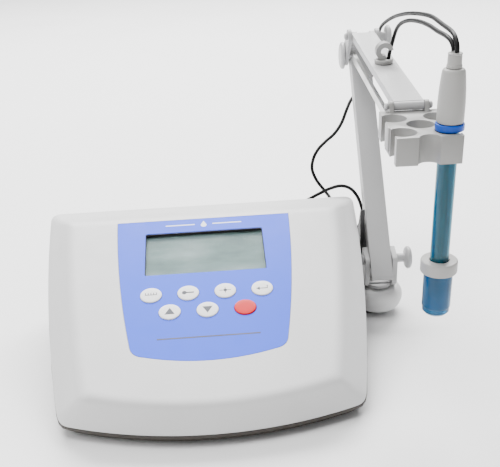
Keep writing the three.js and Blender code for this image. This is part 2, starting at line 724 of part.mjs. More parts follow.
// The lead clip that stands on the upper arm: a round boss that the lead dives into, and
// the hook over it.
function leadClip() {
  const boss = turned([[0, 3.2], [6.4, 3.2], [6.8, 4], [6.8, 5.6], [6, 6.2], [0, 6.2]], 28);
  const hook = cut(
    rod(-3.2, 3.2, 0, 12, 6.4, 24),
    rod(-5, 5, 0, 12, 2.9, 24),
    block(-8, -0.8, -5, 5, 4, 13),
  );
  const clip = cut(
    join(boss, hook),
    post(-LEAD_CLIP.lead, 0, 0, 7, 2.5),
    post(-LEAD_CLIP.lead - 0.8, -1.8, 0, 7, 2.7),
  );
  return alongUpperArm(clip.translate(-LEAD_CLIP.s, UPPER_PIVOT.t - LEAD_CLIP.t, 0));
}

function electrodeHolder() {
  const { s, half, rear, front, top, bottom } = HOLDER;
  const blockBody = join(
    block(s - half, s + half, front, rear, bottom, top),
    block(s - half - 0.8, s + half + 0.8, HOLE.midT - 5.5, HOLE.midT + 5.5, bottom + 2.5, top),
  );
  const ear = hullOfCircles(
    circle(HOLDER_PIVOT.t, HOLDER_PIVOT.z, 3.4),
    circle(HOLDER_PIVOT.t - 1.5, bottom + 7, 6),
  );
  const lug = hullOfCircles(
    circle(HOLDER_PIVOT.t + UPPER_LINK_OFFSET.t, HOLDER_PIVOT.z + UPPER_LINK_OFFSET.z, 3.2),
    circle(rear - 2, bottom + 5.5, 4.6),
  );
  const link = {
    t: HOLDER_PIVOT.t + UPPER_LINK_OFFSET.t,
    z: HOLDER_PIVOT.z + UPPER_LINK_OFFSET.z,
  };
  const holes = [
    [s - HOLE.side, HOLE.rearT], [s + HOLE.side, HOLE.rearT], [s, HOLE.midT],
    [s - HOLE.side, HOLE.frontT], [s + HOLE.side, HOLE.frontT],
  ].map(([x, y]) => post(x, y, bottom - 5, top + 5, HOLE.radius, 28));
  const notch = post(s, front - 1, bottom - 5, top + 5, 6.6, 20);
  const body = join(
    blockBody,
    plate(ear, -12.9, -CHEEK.inner + 0.1, 6),
    plate(ear, CHEEK.inner - 0.1, 12.9, 6),
    plate(lug, -11.6, -8.7, 6),
    bar(-9.2, -5.2, link.t, link.z, 1.5, 12),
  );
  return cut(
    body,
    ...holes,
    notch,
    bar(-20, 20, HOLDER_PIVOT.t, HOLDER_PIVOT.z, 1.9, 20),
  );
}

function holderHingePin() {
  const profile = [
    [0, -15.7], [1.8, -15.4], [2.6, -14.3], [1.6, -13.2], [1.6, 13.2], [2.6, 14.3], [1.8, 15.4],
    [0, 15.7],
  ];
  return turned(profile, 20).rotateY(Math.PI / 2).translate(0, HOLDER_PIVOT.t, HOLDER_PIVOT.z);
}

// ---------------------------------------------------------------- electrode pieces
function electrodePiece(profile, sides = 28) {
  return turned(profile, sides).translate(ELECTRODE.s, ELECTRODE.t, 0);
}

function electrodeCap() {
  return electrodePiece([
    [0, 196.9], [7.8, 196.9], [8.1, 198.5], [8.15, 209], [7.8, 216.5], [7.2, 223.3], [6.7, 227.4],
    [5.7, 228.6], [0, 228.6],
  ]);
}

function strainRelief() {
  return electrodePiece([
    [0, 228.9], [4.6, 228.9], [4.4, 231.6], [4.1, 235.8], [4.2, 236.4], [4.2, 237.4], [0, 237.4],
  ], 28);
}

function sealRing() {
  return electrodePiece([
    [6.4, 192.5], [8.5, 192.5], [8.75, 193], [8.75, 196.1], [8.5, 196.6], [6.4, 196.6], [6.4, 192.5],
  ]);
}

function electrodeBody() {
  return electrodePiece([
    [4.9, 81], [5.6, 81], [6, 82], [6, 196.6], [4.9, 196.6], [4.9, 81],
  ]);
}

function innerElectrode() {
  return electrodePiece([
    [0, 77.5], [1.8, 77.9], [3.4, 79.4], [4, 81.4], [3.6, 84], [2.4, 86.2], [1.7, 88], [1.7, 168],
    [2.6, 172], [2.6, 196.3], [0, 196.3],
  ], 24);
}

function bottleCollar() {
  return electrodePiece([
    [6.4, 97.9], [11.6, 97.9], [11.9, 98.6], [11.9, 105.6], [11.3, 106.3], [6.4, 106.3], [6.4, 97.9],
  ]);
}

function soakingBottle() {
  return electrodePiece([
    [0, 67.4], [7.2, 67.4], [8.9, 69.4], [8.9, 72.4], [9.35, 73], [9.35, 97.5], [8.2, 97.5],
    [8.2, 73], [7, 70.2], [0, 69.4],
  ]);
}

// ---------------------------------------------------------------- leads and plugs
// Both leads' routes are in the case's frame. The electrode's lead goes from the cap over
// the post at the elbow, down the back of the lower arm and round to the rear sockets.
const ELECTRODE_LEAD = [
  [152.8, -100.3, 237.7], [152.7, -99.9, 241], [152.5, -97.2, 244.3], [152.5, -91.6, 246.6],
  [152.9, -66.3, 247.6], [153.6, -41.7, 247.6], [154.6, -8.3, 244], [155.8, 33, 237.4],
  [157, 74.7, 228.4], [157.9, 109.3, 218.3], [158.3, 124.5, 212.4], [158.6, 134, 206],
  [158.9, 138.4, 198.2], [159, 139.4, 188.5], [158.5, 139.8, 178.5], [155.8, 141.4, 169],
  [149.8, 141.3, 160.5], [141.7, 137, 155], [135, 130.7, 150], [130, 123, 144],
  [124.2, 116, 134], [117, 109.6, 127], [109, 104.6, 122.4], [101.8, 100.6, 117], [97, 97, 110],
  [95.4, 94, 102], [98.6, 91, 93], [105, 89, 84], [110.6, 94, 75], [113, 103, 67.4],
  [112.2, 112, 60.6], [109, 120.4, 55.4], [104.2, 126.8, 51.6], [99.8, 130, 47.4],
  [97.2, 128.8, 42.8], [96.2, 124, 40.4], [96, 117, 40], [96, 106, 40],
];
// The points at which it passes from one link of the arm to the next.
const ELECTRODE_LEAD_PARTS = [
  { name: 'electrode_lead_front_arch', from: 0, to: 6 },
  { name: 'electrode_lead_rear_arch', from: 6, to: 10 },
  { name: 'electrode_lead_elbow', from: 10, to: 18 },
  { name: 'electrode_lead_drop', from: 18, to: 22 },
  { name: 'electrode_lead_tail', from: 22, to: 37 },
];
// The temperature lead arches beside it into the clip on the upper arm, is hidden in the
// arm's channels, and comes out of the bracket.
const TEMPERATURE_LEAD_ARCH = [
  [151.8, -96.9, 237.9], [151.6, -96.4, 240.1], [151.1, -93.6, 242.6], [150.5, -87.4, 244],
  [150, -68.4, 243.9], [149.9, -48.9, 243.9], [150.2, -23.4, 241.9], [150.5, 8.7, 236.8],
  [150.4, 30, 230.2], [150, 38.4, 224.2], [148.9, 40, 218.4], [146.7, 37.3, 212.8],
  [144.8, 33.5, 208.4], [144.2, 32.3, 205], [144.1, 32, 201.2],
];
const TEMPERATURE_LEAD_TAIL = [
  [129.5, 60.3, 47], [129.7, 65, 47.5], [131.2, 70.4, 51.6], [134.4, 72, 59], [135.8, 71.6, 67.5],
  [133.6, 71, 77], [129.6, 70.6, 85.5], [124.4, 70.8, 91.2], [117, 71.4, 93.6], [108, 72.6, 91.4],
  [99.6, 76.4, 86], [91, 84, 78], [83.4, 93.4, 69.5], [77.4, 103, 61.8], [73.4, 111.4, 56.6],
  [71.2, 118.4, 52.8], [70.2, 121.6, 47.6], [70, 119.8, 42.4], [70, 114.6, 40.1], [70, 107, 40],
  [70, 99, 40],
];

// The stretch of a lead between two of its points.
function leadTube(points, from, to) {
  const route = new THREE.CatmullRomCurve3(points.map((point) => new THREE.Vector3(...point)));
  const share = (place) => place / (points.length - 1);
  const trimmed = [];
  for (let step = 0; step <= LEAD_STEPS_PER_POINT * (to - from); step += 1) {
    trimmed.push(route.getPoint(share(from + step / LEAD_STEPS_PER_POINT)));
  }
  const start = trimmed[1].clone().sub(trimmed[0]).setLength(from > 0 ? GAP / 2 : 0);
  const end = trimmed.at(-2).clone().sub(trimmed.at(-1));
  end.setLength(to < points.length - 1 ? GAP / 2 : 0);
  trimmed[0].add(start);
  trimmed.at(-1).add(end);
  const path = new THREE.CatmullRomCurve3(trimmed);
  const steps = Math.max(4, Math.round(path.getLength() / LEAD_STEP));
  const section = new THREE.Shape();
  section.absarc(0, 0, LEAD_DIAMETER / 2, 0, 2 * Math.PI, false);
  return new THREE.ExtrudeGeometry(section, {
    steps, curveSegments: 4, bevelEnabled: false, extrudePath: path,
  });
}

function electrodePlug() {
  return rearPiece([
    [0, 84], [6.1, 84], [6.1, 69.8], [7.3, 69.8], [7.3, 86], [5.2, 88], [5, 97], [3, 105.7],
    [0, 105.7],
  ], SOCKET_X.electrode);
}

function temperaturePlug() {
  return rearPiece([
    [0, 63], [1.3, 63], [1.3, 79], [4.2, 79], [4.2, 69.6], [5.4, 69.6], [5.4, 84], [4.6, 86],
    [4.4, 92], [2.8, 98.7], [0, 98.7],
  ], SOCKET_X.temperature);
}

// ---------------------------------------------------------------- assembly
function piece(name, geometry, material) {
  const mesh = new THREE.Mesh(geometry, material);
  mesh.name = name;
  return mesh;
}

function caseGroup() {
  const group = new THREE.Group();
  group.add(
    piece('top_shell', topShell(), PAINT.shell()),
    piece('base_pan', basePan(), PAINT.base()),
    piece('front_label', frontLabel(), PAINT.label()),
    piece('display_window', displayWindow(), PAINT.glass()),
    piece('display_module', displayModule(), PAINT.glass()),
    piece('key_board', keyBoard(), PAINT.board()),
    piece('main_board', mainBoard(), PAINT.board()),
    piece('electrode_socket', electrodeSocket(), PAINT.steel()),
    piece('temperature_socket', temperatureSocket(), PAINT.steel()),
    piece('power_socket', powerSocket(), PAINT.black()),
    piece('arm_bracket', armBracket(), PAINT.black()),
  );
  FEET.forEach((place) => group.add(piece(place.name, foot(place), PAINT.rubber())));
  SCREWS.forEach((place) => group.add(piece(place.name, caseScrew(place), PAINT.steel())));
  BRACKET_SCREWS.forEach((place) => (
    group.add(piece(place.name, bracketScrew(place), PAINT.steel()))));
  KEYS.forEach((place) => (
    group.add(piece(place.name, key(place), place.red ? PAINT.redKey() : PAINT.key()))));
  return group;
}

function armGroup() {
  const group = new THREE.Group();
  group.position.set(SWIVEL.x, SWIVEL.y, 0);
  group.rotation.z = SWIVEL.turn;
  group.add(
    piece('arm_base', armBase(), PAINT.arm()),
    piece('swivel_fork', swivelFork(), PAINT.arm()),
    piece('lower_arm', lowerArm(), PAINT.arm()),
    piece('lower_link', lowerLink(), PAINT.steel()),
    piece('lower_knob', lowerKnob(), PAINT.arm()),
    piece('elbow_block', elbowBlock(), PAINT.arm()),
    piece('elbow_pin', elbowPin(), PAINT.arm()),
    piece('upper_hinge_pin', upperHingePin(), PAINT.arm()),
    piece('upper_arm', upperArm(), PAINT.arm()),
    piece('upper_link', upperLink(), PAINT.arm()),
    piece('balance_spring', balanceSpring(), PAINT.steel()),
    piece('lead_clip', leadClip(), PAINT.white()),
    piece('holder_hinge_pin', holderHingePin(), PAINT.arm()),
    piece('electrode_holder', electrodeHolder(), PAINT.white()),
    piece('electrode_cap', electrodeCap(), PAINT.white()),
    piece('strain_relief', strainRelief(), PAINT.white()),
    piece('seal_ring', sealRing(), PAINT.ring()),
    piece('electrode_body', electrodeBody(), PAINT.clear()),
    piece('inner_electrode', innerElectrode(), PAINT.glass()),
    piece('bottle_collar', bottleCollar(), PAINT.white()),
    piece('soaking_bottle', soakingBottle(), PAINT.bottle()),
  );
  return group;
}

function leadGroup() {
  const group = new THREE.Group();
  ELECTRODE_LEAD_PARTS.forEach(({ name, from, to }) => (
    group.add(piece(name, leadTube(ELECTRODE_LEAD, from, to), PAINT.black()))));
  const arch = leadTube(TEMPERATURE_LEAD_ARCH, 0, TEMPERATURE_LEAD_ARCH.length - 1);
  const tail = leadTube(TEMPERATURE_LEAD_TAIL, 0, TEMPERATURE_LEAD_TAIL.length - 1);
  group.add(
    piece('temperature_lead_arch', arch, PAINT.black()),
    piece('temperature_lead_tail', tail, PAINT.black()),
    piece('electrode_plug', electrodePlug(), PAINT.steel()),
    piece('temperature_plug', temperaturePlug(), PAINT.black()),
  );
  return group;
}

const meter = new THREE.Group();
meter.position.copy(CENTRE).negate();
meter.add(caseGroup(), armGroup(), leadGroup());

export default meter;
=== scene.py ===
import math

import bmesh
import bpy
from mathutils import Matrix, Vector


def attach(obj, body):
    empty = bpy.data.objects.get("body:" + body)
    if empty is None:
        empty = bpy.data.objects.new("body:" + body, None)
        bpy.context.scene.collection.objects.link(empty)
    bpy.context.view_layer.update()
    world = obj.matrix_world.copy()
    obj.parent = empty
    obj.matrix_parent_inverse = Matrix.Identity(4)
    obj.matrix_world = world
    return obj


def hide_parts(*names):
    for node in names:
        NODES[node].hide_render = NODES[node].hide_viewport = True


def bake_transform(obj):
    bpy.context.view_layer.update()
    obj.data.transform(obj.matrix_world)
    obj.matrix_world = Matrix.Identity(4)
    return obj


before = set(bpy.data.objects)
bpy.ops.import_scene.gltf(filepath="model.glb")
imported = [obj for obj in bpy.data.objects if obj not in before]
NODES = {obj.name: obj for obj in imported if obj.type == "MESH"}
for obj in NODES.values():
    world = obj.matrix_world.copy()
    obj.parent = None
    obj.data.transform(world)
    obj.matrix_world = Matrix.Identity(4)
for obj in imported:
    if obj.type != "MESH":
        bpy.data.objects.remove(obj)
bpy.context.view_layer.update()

# A benchtop pH meter. Sizes are in millimetres, in the drawing's own frame (x across from the
# case's middle, y to the back, z up), and become metres in the row frame when a mesh is made.
MM = 0.001
CENTRE = Vector((20.42, 7.09, 0))

FACE_TILT = math.radians(18.6)
FACE_FRONT = dict(half=84.7, y=-121.8, bulge=11.5)
FACE_BACK = dict(half=105.5, y=39)
FACE_PLAN = dict(front=FACE_FRONT, back=FACE_BACK, side_bulge=2.5, corner=4)
FACE_FRONT_Z = 34.6
FACE_INSET = 5.5
RIM_FRONT = dict(half=103.8, y=-117, bulge=21.5)
RIM_BACK = dict(half=125.5, y=67)
RIM_PLAN = dict(front=RIM_FRONT, back=RIM_BACK, side_bulge=4.5, corner=8)
RIM_FRONT_Z = 10
RIM_SLOPE = 0.402
RIM_LIP = 1.6
EDGE_STEPS = dict(front=42, side=21, back=24)
CORNER_STEPS = 9
WALL = 2.6
LABEL = dict(top_half=68, bottom_half=53.8, high=37, low=-97.5)
LABEL_BOW = dict(corner=9, side=5, bottom=14)
LABEL_DEPTH = 0.5
WINDOW = dict(width=91.6, height=45.4, depth=3)
KEY = dict(rx=7.9, ry=7.1, pitch=27)
KEY_ROWS = (-43, -60.2)
# Each ring of a key: how far it is drawn in from the key's outline, and its height off the face.
KEY_PROFILE = (
    (-1.3, -4.1), (-1.3, -2.9), (0, -2.9), (0, 0.35), (0.12, 0.62), (0.42, 0.82), (0.9, 0.9),
    (3.4, 0.96), (5.6, 0.98),
)
KEY_CLEARANCE = 0.3
LABEL_CLEARANCE = 0.25
INK_DEPTH = 0.03
# Cutting solids reach from well under the face to well over it.
CUT_REACH = (-20, 5)

SWIVEL = (140.4, 24)
ARM_TURN = math.radians(-1.4)
LEAN = math.radians(41.3)
LOWER_PIVOT = (-3.9, 48.5)
LOWER_LENGTH = 183.7
ELBOW = (
    LOWER_PIVOT[0] + LOWER_LENGTH * math.sin(LEAN),
    LOWER_PIVOT[1] + LOWER_LENGTH * math.cos(LEAN),
)
UPPER_PIVOT = (100, 205.8)
HOLDER_PIVOT = (-78, 195.4)
LINK_OFFSET = (5.4, -17.2)
DROOP = math.atan2(UPPER_PIVOT[1] - HOLDER_PIVOT[1], UPPER_PIVOT[0] - HOLDER_PIVOT[0])
HOLDER = dict(s=1, half=19.8, rear=-77, front=-134, top=192.1, bottom=174.9)
HOLE = dict(radius=8.6, side=13.9, rear=-93.4, middle=-107.8, front=-122.3)
ELECTRODE = (HOLDER["s"] + HOLE["side"], HOLE["front"])
SOCKET_Z = 40
SOCKET_X = dict(electrode=96, temperature=70, power=44)
RIDGE = dict(root=0.3, proud=0.22, root_turn=0.075, top_turn=0.04)
HOLDER_EAR = dict(inner=10, outer=12.9, radius=3.4)
HOLDER_LINK_EAR = dict(inner=-8.7, outer=-11.6, radius=3.2)
HOLDER_BELT = dict(proud=0.8, half=5.5, lift=2.5)
NOTCH_RADIUS = 6.6
PIN_HOLE_RADIUS = 1.9
LINK_PIN_RADIUS = 1.5
SPRING = dict(x=-2.5, z=-6.6, start=84, end=146, turns=17, coil=2.7, wire=0.55)
SPRING_STEPS_PER_TURN = 14
LEAD_DIAMETER = 2.8
LEAD_SIDES = 16
LINE_STEPS = 8

CAMERA_PLACE = (11.91, -541.13, 336.07)
CAMERA_TURN = dict(yaw=2.78, pitch=27.56, roll=-2.53)
CAMERA_LENS = dict(lens=56.28, sensor_width=36, shift_x=-0.0113, shift_y=0.0795, clip_start=0.01)

# A noise texture's values stay near the middle of 0 to 1, between these two.
NOISE_LOW, NOISE_HIGH = 0.3, 0.7
SHARP_EDGE = 32

# ------------------------------------------------------------------ frames
CASE = Matrix.Identity(4)
FACE = Matrix.Translation(
    (0, 0, FACE_FRONT_Z - math.tan(FACE_TILT) * FACE_FRONT["y"])
) @ Matrix.Rotation(FACE_TILT, 4, "X")
ARM = Matrix.Translation((*SWIVEL, 0)) @ Matrix.Rotation(ARM_TURN, 4, "Z")
# A turned profile stands along z. ACROSS lays it along x, BACKWARD lays it along y.
ACROSS = Matrix.Rotation(math.pi / 2, 4, "Y")
BACKWARD = Matrix.Rotation(-math.pi / 2, 4, "X")
UPPER_ARM = (
    ARM
    @ Matrix.Translation((0, *UPPER_PIVOT))
    @ Matrix.Rotation(DROOP, 4, "X")
    @ Matrix.Rotation(math.pi, 4, "Z")
)


def row(point):
    return (Vector(point) - CENTRE) * MM


# ------------------------------------------------------------------ camera
def make_camera():
    yaw, pitch, roll = (math.radians(CAMERA_TURN[key]) for key in ("yaw", "pitch", "roll"))
    forward = Vector(
        (math.sin(yaw) * math.cos(pitch), math.cos(yaw) * math.cos(pitch), -math.sin(pitch))
    )
    level = Vector((math.cos(yaw), -math.sin(yaw), 0))
    upright = level.cross(forward)
    right = level * math.cos(roll) + upright * math.sin(roll)
    up = upright * math.cos(roll) - level * math.sin(roll)
    camera = bpy.data.objects.new("camera", bpy.data.cameras.new("camera"))
    bpy.context.scene.collection.objects.link(camera)
    for key, value in CAMERA_LENS.items():
        setattr(camera.data, key, value)
    turn = Matrix((right, up, -forward)).transposed().to_4x4()
    camera.matrix_world = Matrix.Translation(row(CAMERA_PLACE)) @ turn
    bpy.context.scene.camera = camera


make_camera()


# ------------------------------------------------------------------ materials
def new_material(name):
    material = bpy.data.materials.new(name)
    material.use_nodes = True
    tree = material.node_tree
    return material, tree, tree.nodes["Principled BSDF"]


def node(tree, kind, **inputs):
    made = tree.nodes.new(kind)
    for key, value in inputs.items():
        made.inputs[key.replace("_", " ")].default_value = value
    return made


def noise(tree, scale, detail=3.0, roughness=0.5, stretch=(1, 1, 1)):
    """A noise texture in the row frame; scale is in features per metre."""
    place = tree.nodes.new("ShaderNodeTexCoord")
    mapping = node(tree, "ShaderNodeMapping", Scale=stretch)
    texture = node(tree, "ShaderNodeTexNoise", Scale=scale, Detail=detail, Roughness=roughness)
    tree.links.new(place.outputs["Object"], mapping.inputs["Vector"])
    tree.links.new(mapping.outputs["Vector"], texture.inputs["Vector"])
    return texture


def ramp(tree, source, *stops):
    made = tree.nodes.new("ShaderNodeValToRGB")
    elements = made.color_ramp.elements
    while len(elements) < len(stops):
        elements.new(0.5)
    for element, (position, colour) in zip(elements, stops):
        element.position = position
        element.color = (*colour, 1)
    tree.links.new(source, made.inputs["Fac"])
    return made


def spread(tree, source, low, high):
    """Remaps a noise value to run from low to high."""
    made = node(tree, "ShaderNodeMapRange", From_Min=NOISE_LOW, From_Max=NOISE_HIGH,
                To_Min=low, To_Max=high)
    tree.links.new(source, made.inputs["Value"])
    return made


def tinted(colour, factor):
    return tuple(min(1.0, max(0.0, channel * factor)) for channel in colour)


def surface_detail(tree, bsdf, grain, depth, edge):
    """Fine grain as a bump, over edges rounded by the given radius in metres."""
    rounded = node(tree, "ShaderNodeBevel", Radius=edge)
    rounded.samples = 4
    bump = node(tree, "ShaderNodeBump", Strength=1.0, Distance=depth)
    texture = noise(tree, grain, 4.0, 0.55)
    tree.links.new(texture.outputs["Fac"], bump.inputs["Height"])
    tree.links.new(rounded.outputs["Normal"], bump.inputs["Normal"])
    tree.links.new(bump.outputs["Normal"], bsdf.inputs["Normal"])


def plastic(name, colour, roughness, grain, depth, edge, variation, patch=26, **sockets):
    """Moulded plastic with soft patches of tone, smudges and a fine grain."""
    material, tree, bsdf = new_material(name)
    patches = noise(tree, patch, 4.0)
    tones = ramp(
        tree, patches.outputs["Fac"],
        (NOISE_LOW, tinted(colour, 1 - variation)), (NOISE_HIGH, tinted(colour, 1 + variation)),
    )
    tree.links.new(tones.outputs["Color"], bsdf.inputs["Base Color"])
    smudges = noise(tree, patch * 2.7, 5.0, 0.6)
    shine = spread(tree, smudges.outputs["Fac"], roughness * 0.86, roughness * 1.14)
    tree.links.new(shine.outputs["Result"], bsdf.inputs["Roughness"])
    surface_detail(tree, bsdf, grain, depth, edge)
    for key, value in sockets.items():
        bsdf.inputs[key.replace("_", " ")].default_value = value
    return material


def metal(name, colour, roughness, stretch=(1, 1, 1)):
    """Metal with a satin or, when stretched, a drawn grain."""
    material, tree, bsdf = new_material(name)
    bsdf.inputs["Metallic"].default_value = 1.0
    patches = noise(tree, 60, 4.0)
    tones = ramp(
        tree, patches.outputs["Fac"],
        (NOISE_LOW, tinted(colour, 0.9)), (NOISE_HIGH, tinted(colour, 1.08)),
    )
    tree.links.new(tones.outputs["Color"], bsdf.inputs["Base Color"])
    brushed = noise(tree, 900, 3.0, 0.6, stretch)
    shine = spread(tree, brushed.outputs["Fac"], roughness * 0.7, roughness * 1.35)
    tree.links.new(shine.outputs["Result"], bsdf.inputs["Roughness"])
    surface_detail(tree, bsdf, 1500, 0.000006, 0.0002)
    return material


def label_film(name):
    """Printed film: blue, with painted light making it a little paler and more violet towards the
    front edge.
    """
    material, tree, bsdf = new_material(name)
    place = tree.nodes.new("ShaderNodeTexCoord")
    parts = tree.nodes.new("ShaderNodeSeparateXYZ")
    tree.links.new(place.outputs["Object"], parts.inputs["Vector"])
    # painted light: the blue grows paler and more violet towards the front edge
    along = node(tree, "ShaderNodeMapRange", From_Min=0.03, From_Max=-0.11)
    tree.links.new(parts.outputs["Y"], along.inputs["Value"])
    tones = ramp(
        tree, along.outputs["Result"], (0.0, (0.018, 0.088, 0.80)), (1.0, (0.032, 0.105, 0.82)))
    tree.links.new(tones.outputs["Color"], bsdf.inputs["Base Color"])
    smudges = noise(tree, 70, 5.0, 0.6)
    shine = spread(tree, smudges.outputs["Fac"], 0.34, 0.48)
    tree.links.new(shine.outputs["Result"], bsdf.inputs["Roughness"])
    bsdf.inputs["Specular IOR Level"].default_value = 0.25
    surface_detail(tree, bsdf, 4200, 0.000012, 0.0001)
    return material


def display_glass(name):
    """The unlit display: grey-green in cloudy patches of tone, with a faint cloudy sheen."""
    material, tree, bsdf = new_material(name)
    clouds = noise(tree, 22, 3.0, 0.45, (1, 2.6, 1))
    tones = ramp(
        tree, clouds.outputs["Fac"],
        (0.34, (0.27, 0.38, 0.37)), (0.52, (0.40, 0.53, 0.525)), (0.66, (0.54, 0.67, 0.665)),
    )
    tree.links.new(tones.outputs["Color"], bsdf.inputs["Base Color"])
    shine = spread(tree, clouds.outputs["Fac"], 0.12, 0.26)
    tree.links.new(shine.outputs["Result"], bsdf.inputs["Roughness"])
    bsdf.inputs["Coat Weight"].default_value = 0.4
    return material


def clear(name, colour, roughness, transmission, ior, streak, specular=0.5):
    """Tinted clear plastic or glass with faint moulding streaks along its length."""
    material, tree, bsdf = new_material(name)
    streaks = noise(tree, 220, 3.0, 0.5, (1, 1, 0.12))
    tones = ramp(
        tree, streaks.outputs["Fac"],
        (NOISE_LOW, tinted(colour, 1 - streak)), (NOISE_HIGH, tinted(colour, 1 + streak)),
    )
    tree.links.new(tones.outputs["Color"], bsdf.inputs["Base Color"])
    shine = spread(tree, streaks.outputs["Fac"], roughness * 0.7, roughness * 1.3)
    tree.links.new(shine.outputs["Result"], bsdf.inputs["Roughness"])
    bsdf.inputs["Transmission Weight"].default_value = transmission
    bsdf.inputs["IOR"].default_value = ior
    bsdf.inputs["Specular IOR Level"].default_value = specular
    return material


PAINT = dict(
    shell=plastic("shell_grey", (0.65, 0.65, 0.65), 0.46, 3200, 0.000022, 0.0005, 0.02),
    base=plastic("base_dark", (0.030, 0.024, 0.018), 0.5, 2600, 0.00003, 0.0005, 0.12),
    label=label_film("label_film"),
    # painted shade: flat black for the frame that stands in for the shade on the walls of the
    # window recess
    recess_shade=plastic("recess_shade_black", (0.008, 0.008, 0.009), 0.6, 3000, 0.00001, 0.0002, 0.1),
    window=clear("window_clear", (0.93, 0.96, 0.95), 0.05, 1.0, 1.47, 0.01),
    display=display_glass("display_glass"),
    board=plastic("circuit_board", (0.02, 0.16, 0.07), 0.45, 1800, 0.00002, 0.0002, 0.15),
    key=plastic("key_white", (0.83, 0.83, 0.82), 0.36, 3400, 0.000012, 0.0003, 0.015),
    red_key=plastic("key_red", (0.60, 0.004, 0.007), 0.4, 3400, 0.000012, 0.0003, 0.05,
                    Specular_IOR_Level=0.25),
    legend=plastic("legend_ink", (0.055, 0.06, 0.075), 0.55, 3400, 0.000004, 0.0001, 0.1),
    white_ink=plastic("legend_white", (0.86, 0.88, 0.9), 0.5, 3400, 0.000004, 0.0001, 0.02),
    arm=plastic("arm_grey", (0.42, 0.42, 0.42), 0.42, 2200, 0.00002, 0.0006, 0.035),
    holder=plastic("holder_grey", (0.29, 0.287, 0.278), 0.40, 2400, 0.00002, 0.0006, 0.03),
    cap=plastic("cap_ivory", (0.35, 0.345, 0.332), 0.42, 2400, 0.00002, 0.0005, 0.03),
    knob=plastic("knob_grey", (0.40, 0.40, 0.405), 0.36, 2400, 0.000015, 0.0005, 0.03),
    black=plastic("moulded_black", (0.010, 0.010, 0.011), 0.42, 2400, 0.00002, 0.0005, 0.2),
    rubber=plastic("foot_rubber", (0.018, 0.018, 0.019), 0.8, 1800, 0.00004, 0.0004, 0.15),
    jacket=plastic("lead_jacket", (0.0025, 0.0025, 0.0027), 0.5, 1900, 0.00001, 0.0, 0.2,
                   Specular_IOR_Level=0.2),
    ring=plastic("ring_blue", (0.001, 0.07, 0.46), 0.34, 2400, 0.00001, 0.0003, 0.06,
                 Specular_IOR_Level=0.3),
    steel=metal("drawn_steel", (0.52, 0.52, 0.51), 0.34, (1, 0.05, 0.05)),
    nickel=metal("satin_nickel", (0.60, 0.58, 0.54), 0.28),
    tube=clear("tinted_tube", (0.0, 0.20, 0.29), 0.05, 0.75, 1.45, 0.25, 0.2),
    bottle=clear("tinted_bottle", (0.0, 0.14, 0.32), 0.08, 0.6, 1.45, 0.25, 0.2),
    core=plastic("electrode_core", (0.002, 0.022, 0.04), 0.22, 900, 0.000004, 0.0, 0.2),
)


# ------------------------------------------------------------------ meshes
def solid(name, vertices, faces, material, place=CASE, body=None,
          smooth=SHARP_EDGE):
    """A mesh with its corners in millimetres in the given frame, smooth but for sharp edges."""
    mesh = bpy.data.meshes.new(name)
    mesh.from_pydata([row(place @ Vector(v)) for v in vertices], [], faces)
    mesh.materials.append(material)
    made = bpy.data.objects.new(name, mesh)
    bpy.context.scene.collection.objects.link(made)
    tidy_mesh(made, smooth)
    if body:
        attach(made, body)
    return made


def tidy_mesh(made, smooth=SHARP_EDGE):
    """Welds the mesh and shades it smooth, but for edges sharper than the given angle."""
    work = bmesh.new()
    work.from_mesh(made.data)
    bmesh.ops.remove_doubles(work, verts=work.verts, dist=1e-7)
    bmesh.ops.recalc_face_normals(work, faces=work.faces)
    for face in work.faces:
        face.smooth = True
    for edge in work.edges:
        edge.smooth = len(edge.link_faces) == 2 and (
            edge.calc_face_angle(0) < math.radians(smooth))
    work.to_mesh(made.data)
    work.free()


def apply_modifiers(made):
    depsgraph = bpy.context.evaluated_depsgraph_get()
    mesh = bpy.data.meshes.new_from_object(made.evaluated_get(depsgraph))
    made.modifiers.clear()
    made.data = mesh


def cut(made, *tools, operation="DIFFERENCE"):
    """Cuts the tools out of the piece, or joins them to it, and removes the tools."""
    for tool in tools:
        change = made.modifiers.new("cut", "BOOLEAN")
        change.operation = operation
        change.object = tool
        change.solver = "EXACT"
        apply_modifiers(made)
        bpy.data.objects.remove(tool)
    return made


def bevel_edges(made, width, segments, angle):
    change = made.modifiers.new("edges", "BEVEL")
    change.width = width * MM
    change.segments = segments
    change.limit_method = "ANGLE"
    change.angle_limit = math.radians(angle)
    apply_modifiers(made)
    tidy_mesh(made, angle)


def loft(name, rings, material, place=CASE, body=None, smooth=SHARP_EDGE, closed=False):
    """A solid through rings of points. closed joins the last ring to the first."""
    count = len(rings[0])
    vertices = [point for ring in rings for point in ring]
    faces = []
    pairs = [(i, i + 1) for i in range(len(rings) - 1)]
    if closed:
        pairs.append((len(rings) - 1, 0))
    for a, b in pairs:
        for step in range(count):
            after = (step + 1) % count
            faces.append((a * count + step, a * count + after, b * count + after, b * count + step))
    if not closed:
        faces.append(tuple(reversed(range(count))))
        faces.append(tuple(range((len(rings) - 1) * count, len(rings) * count)))
    return solid(name, vertices, faces, material, place, body, smooth)


def rounded_profile(profile, radius, steps=3):
    """Rounds the corners of an open line of (r, h) points."""
    points = [Vector(point) for point in profile]
    made = [points[0]]
    for before, corner, after in zip(points, points[1:], points[2:]):
        reach = min(radius, (corner - before).length * 0.45, (after - corner).length * 0.45)
        start = corner + (before - corner).normalized() * reach
        end = corner + (after - corner).normalized() * reach
        for step in range(steps + 1):
            t = step / steps
            made.append(start * (1 - t) ** 2 + corner * 2 * t * (1 - t) + end * t ** 2)
    made.append(points[-1])
    return made


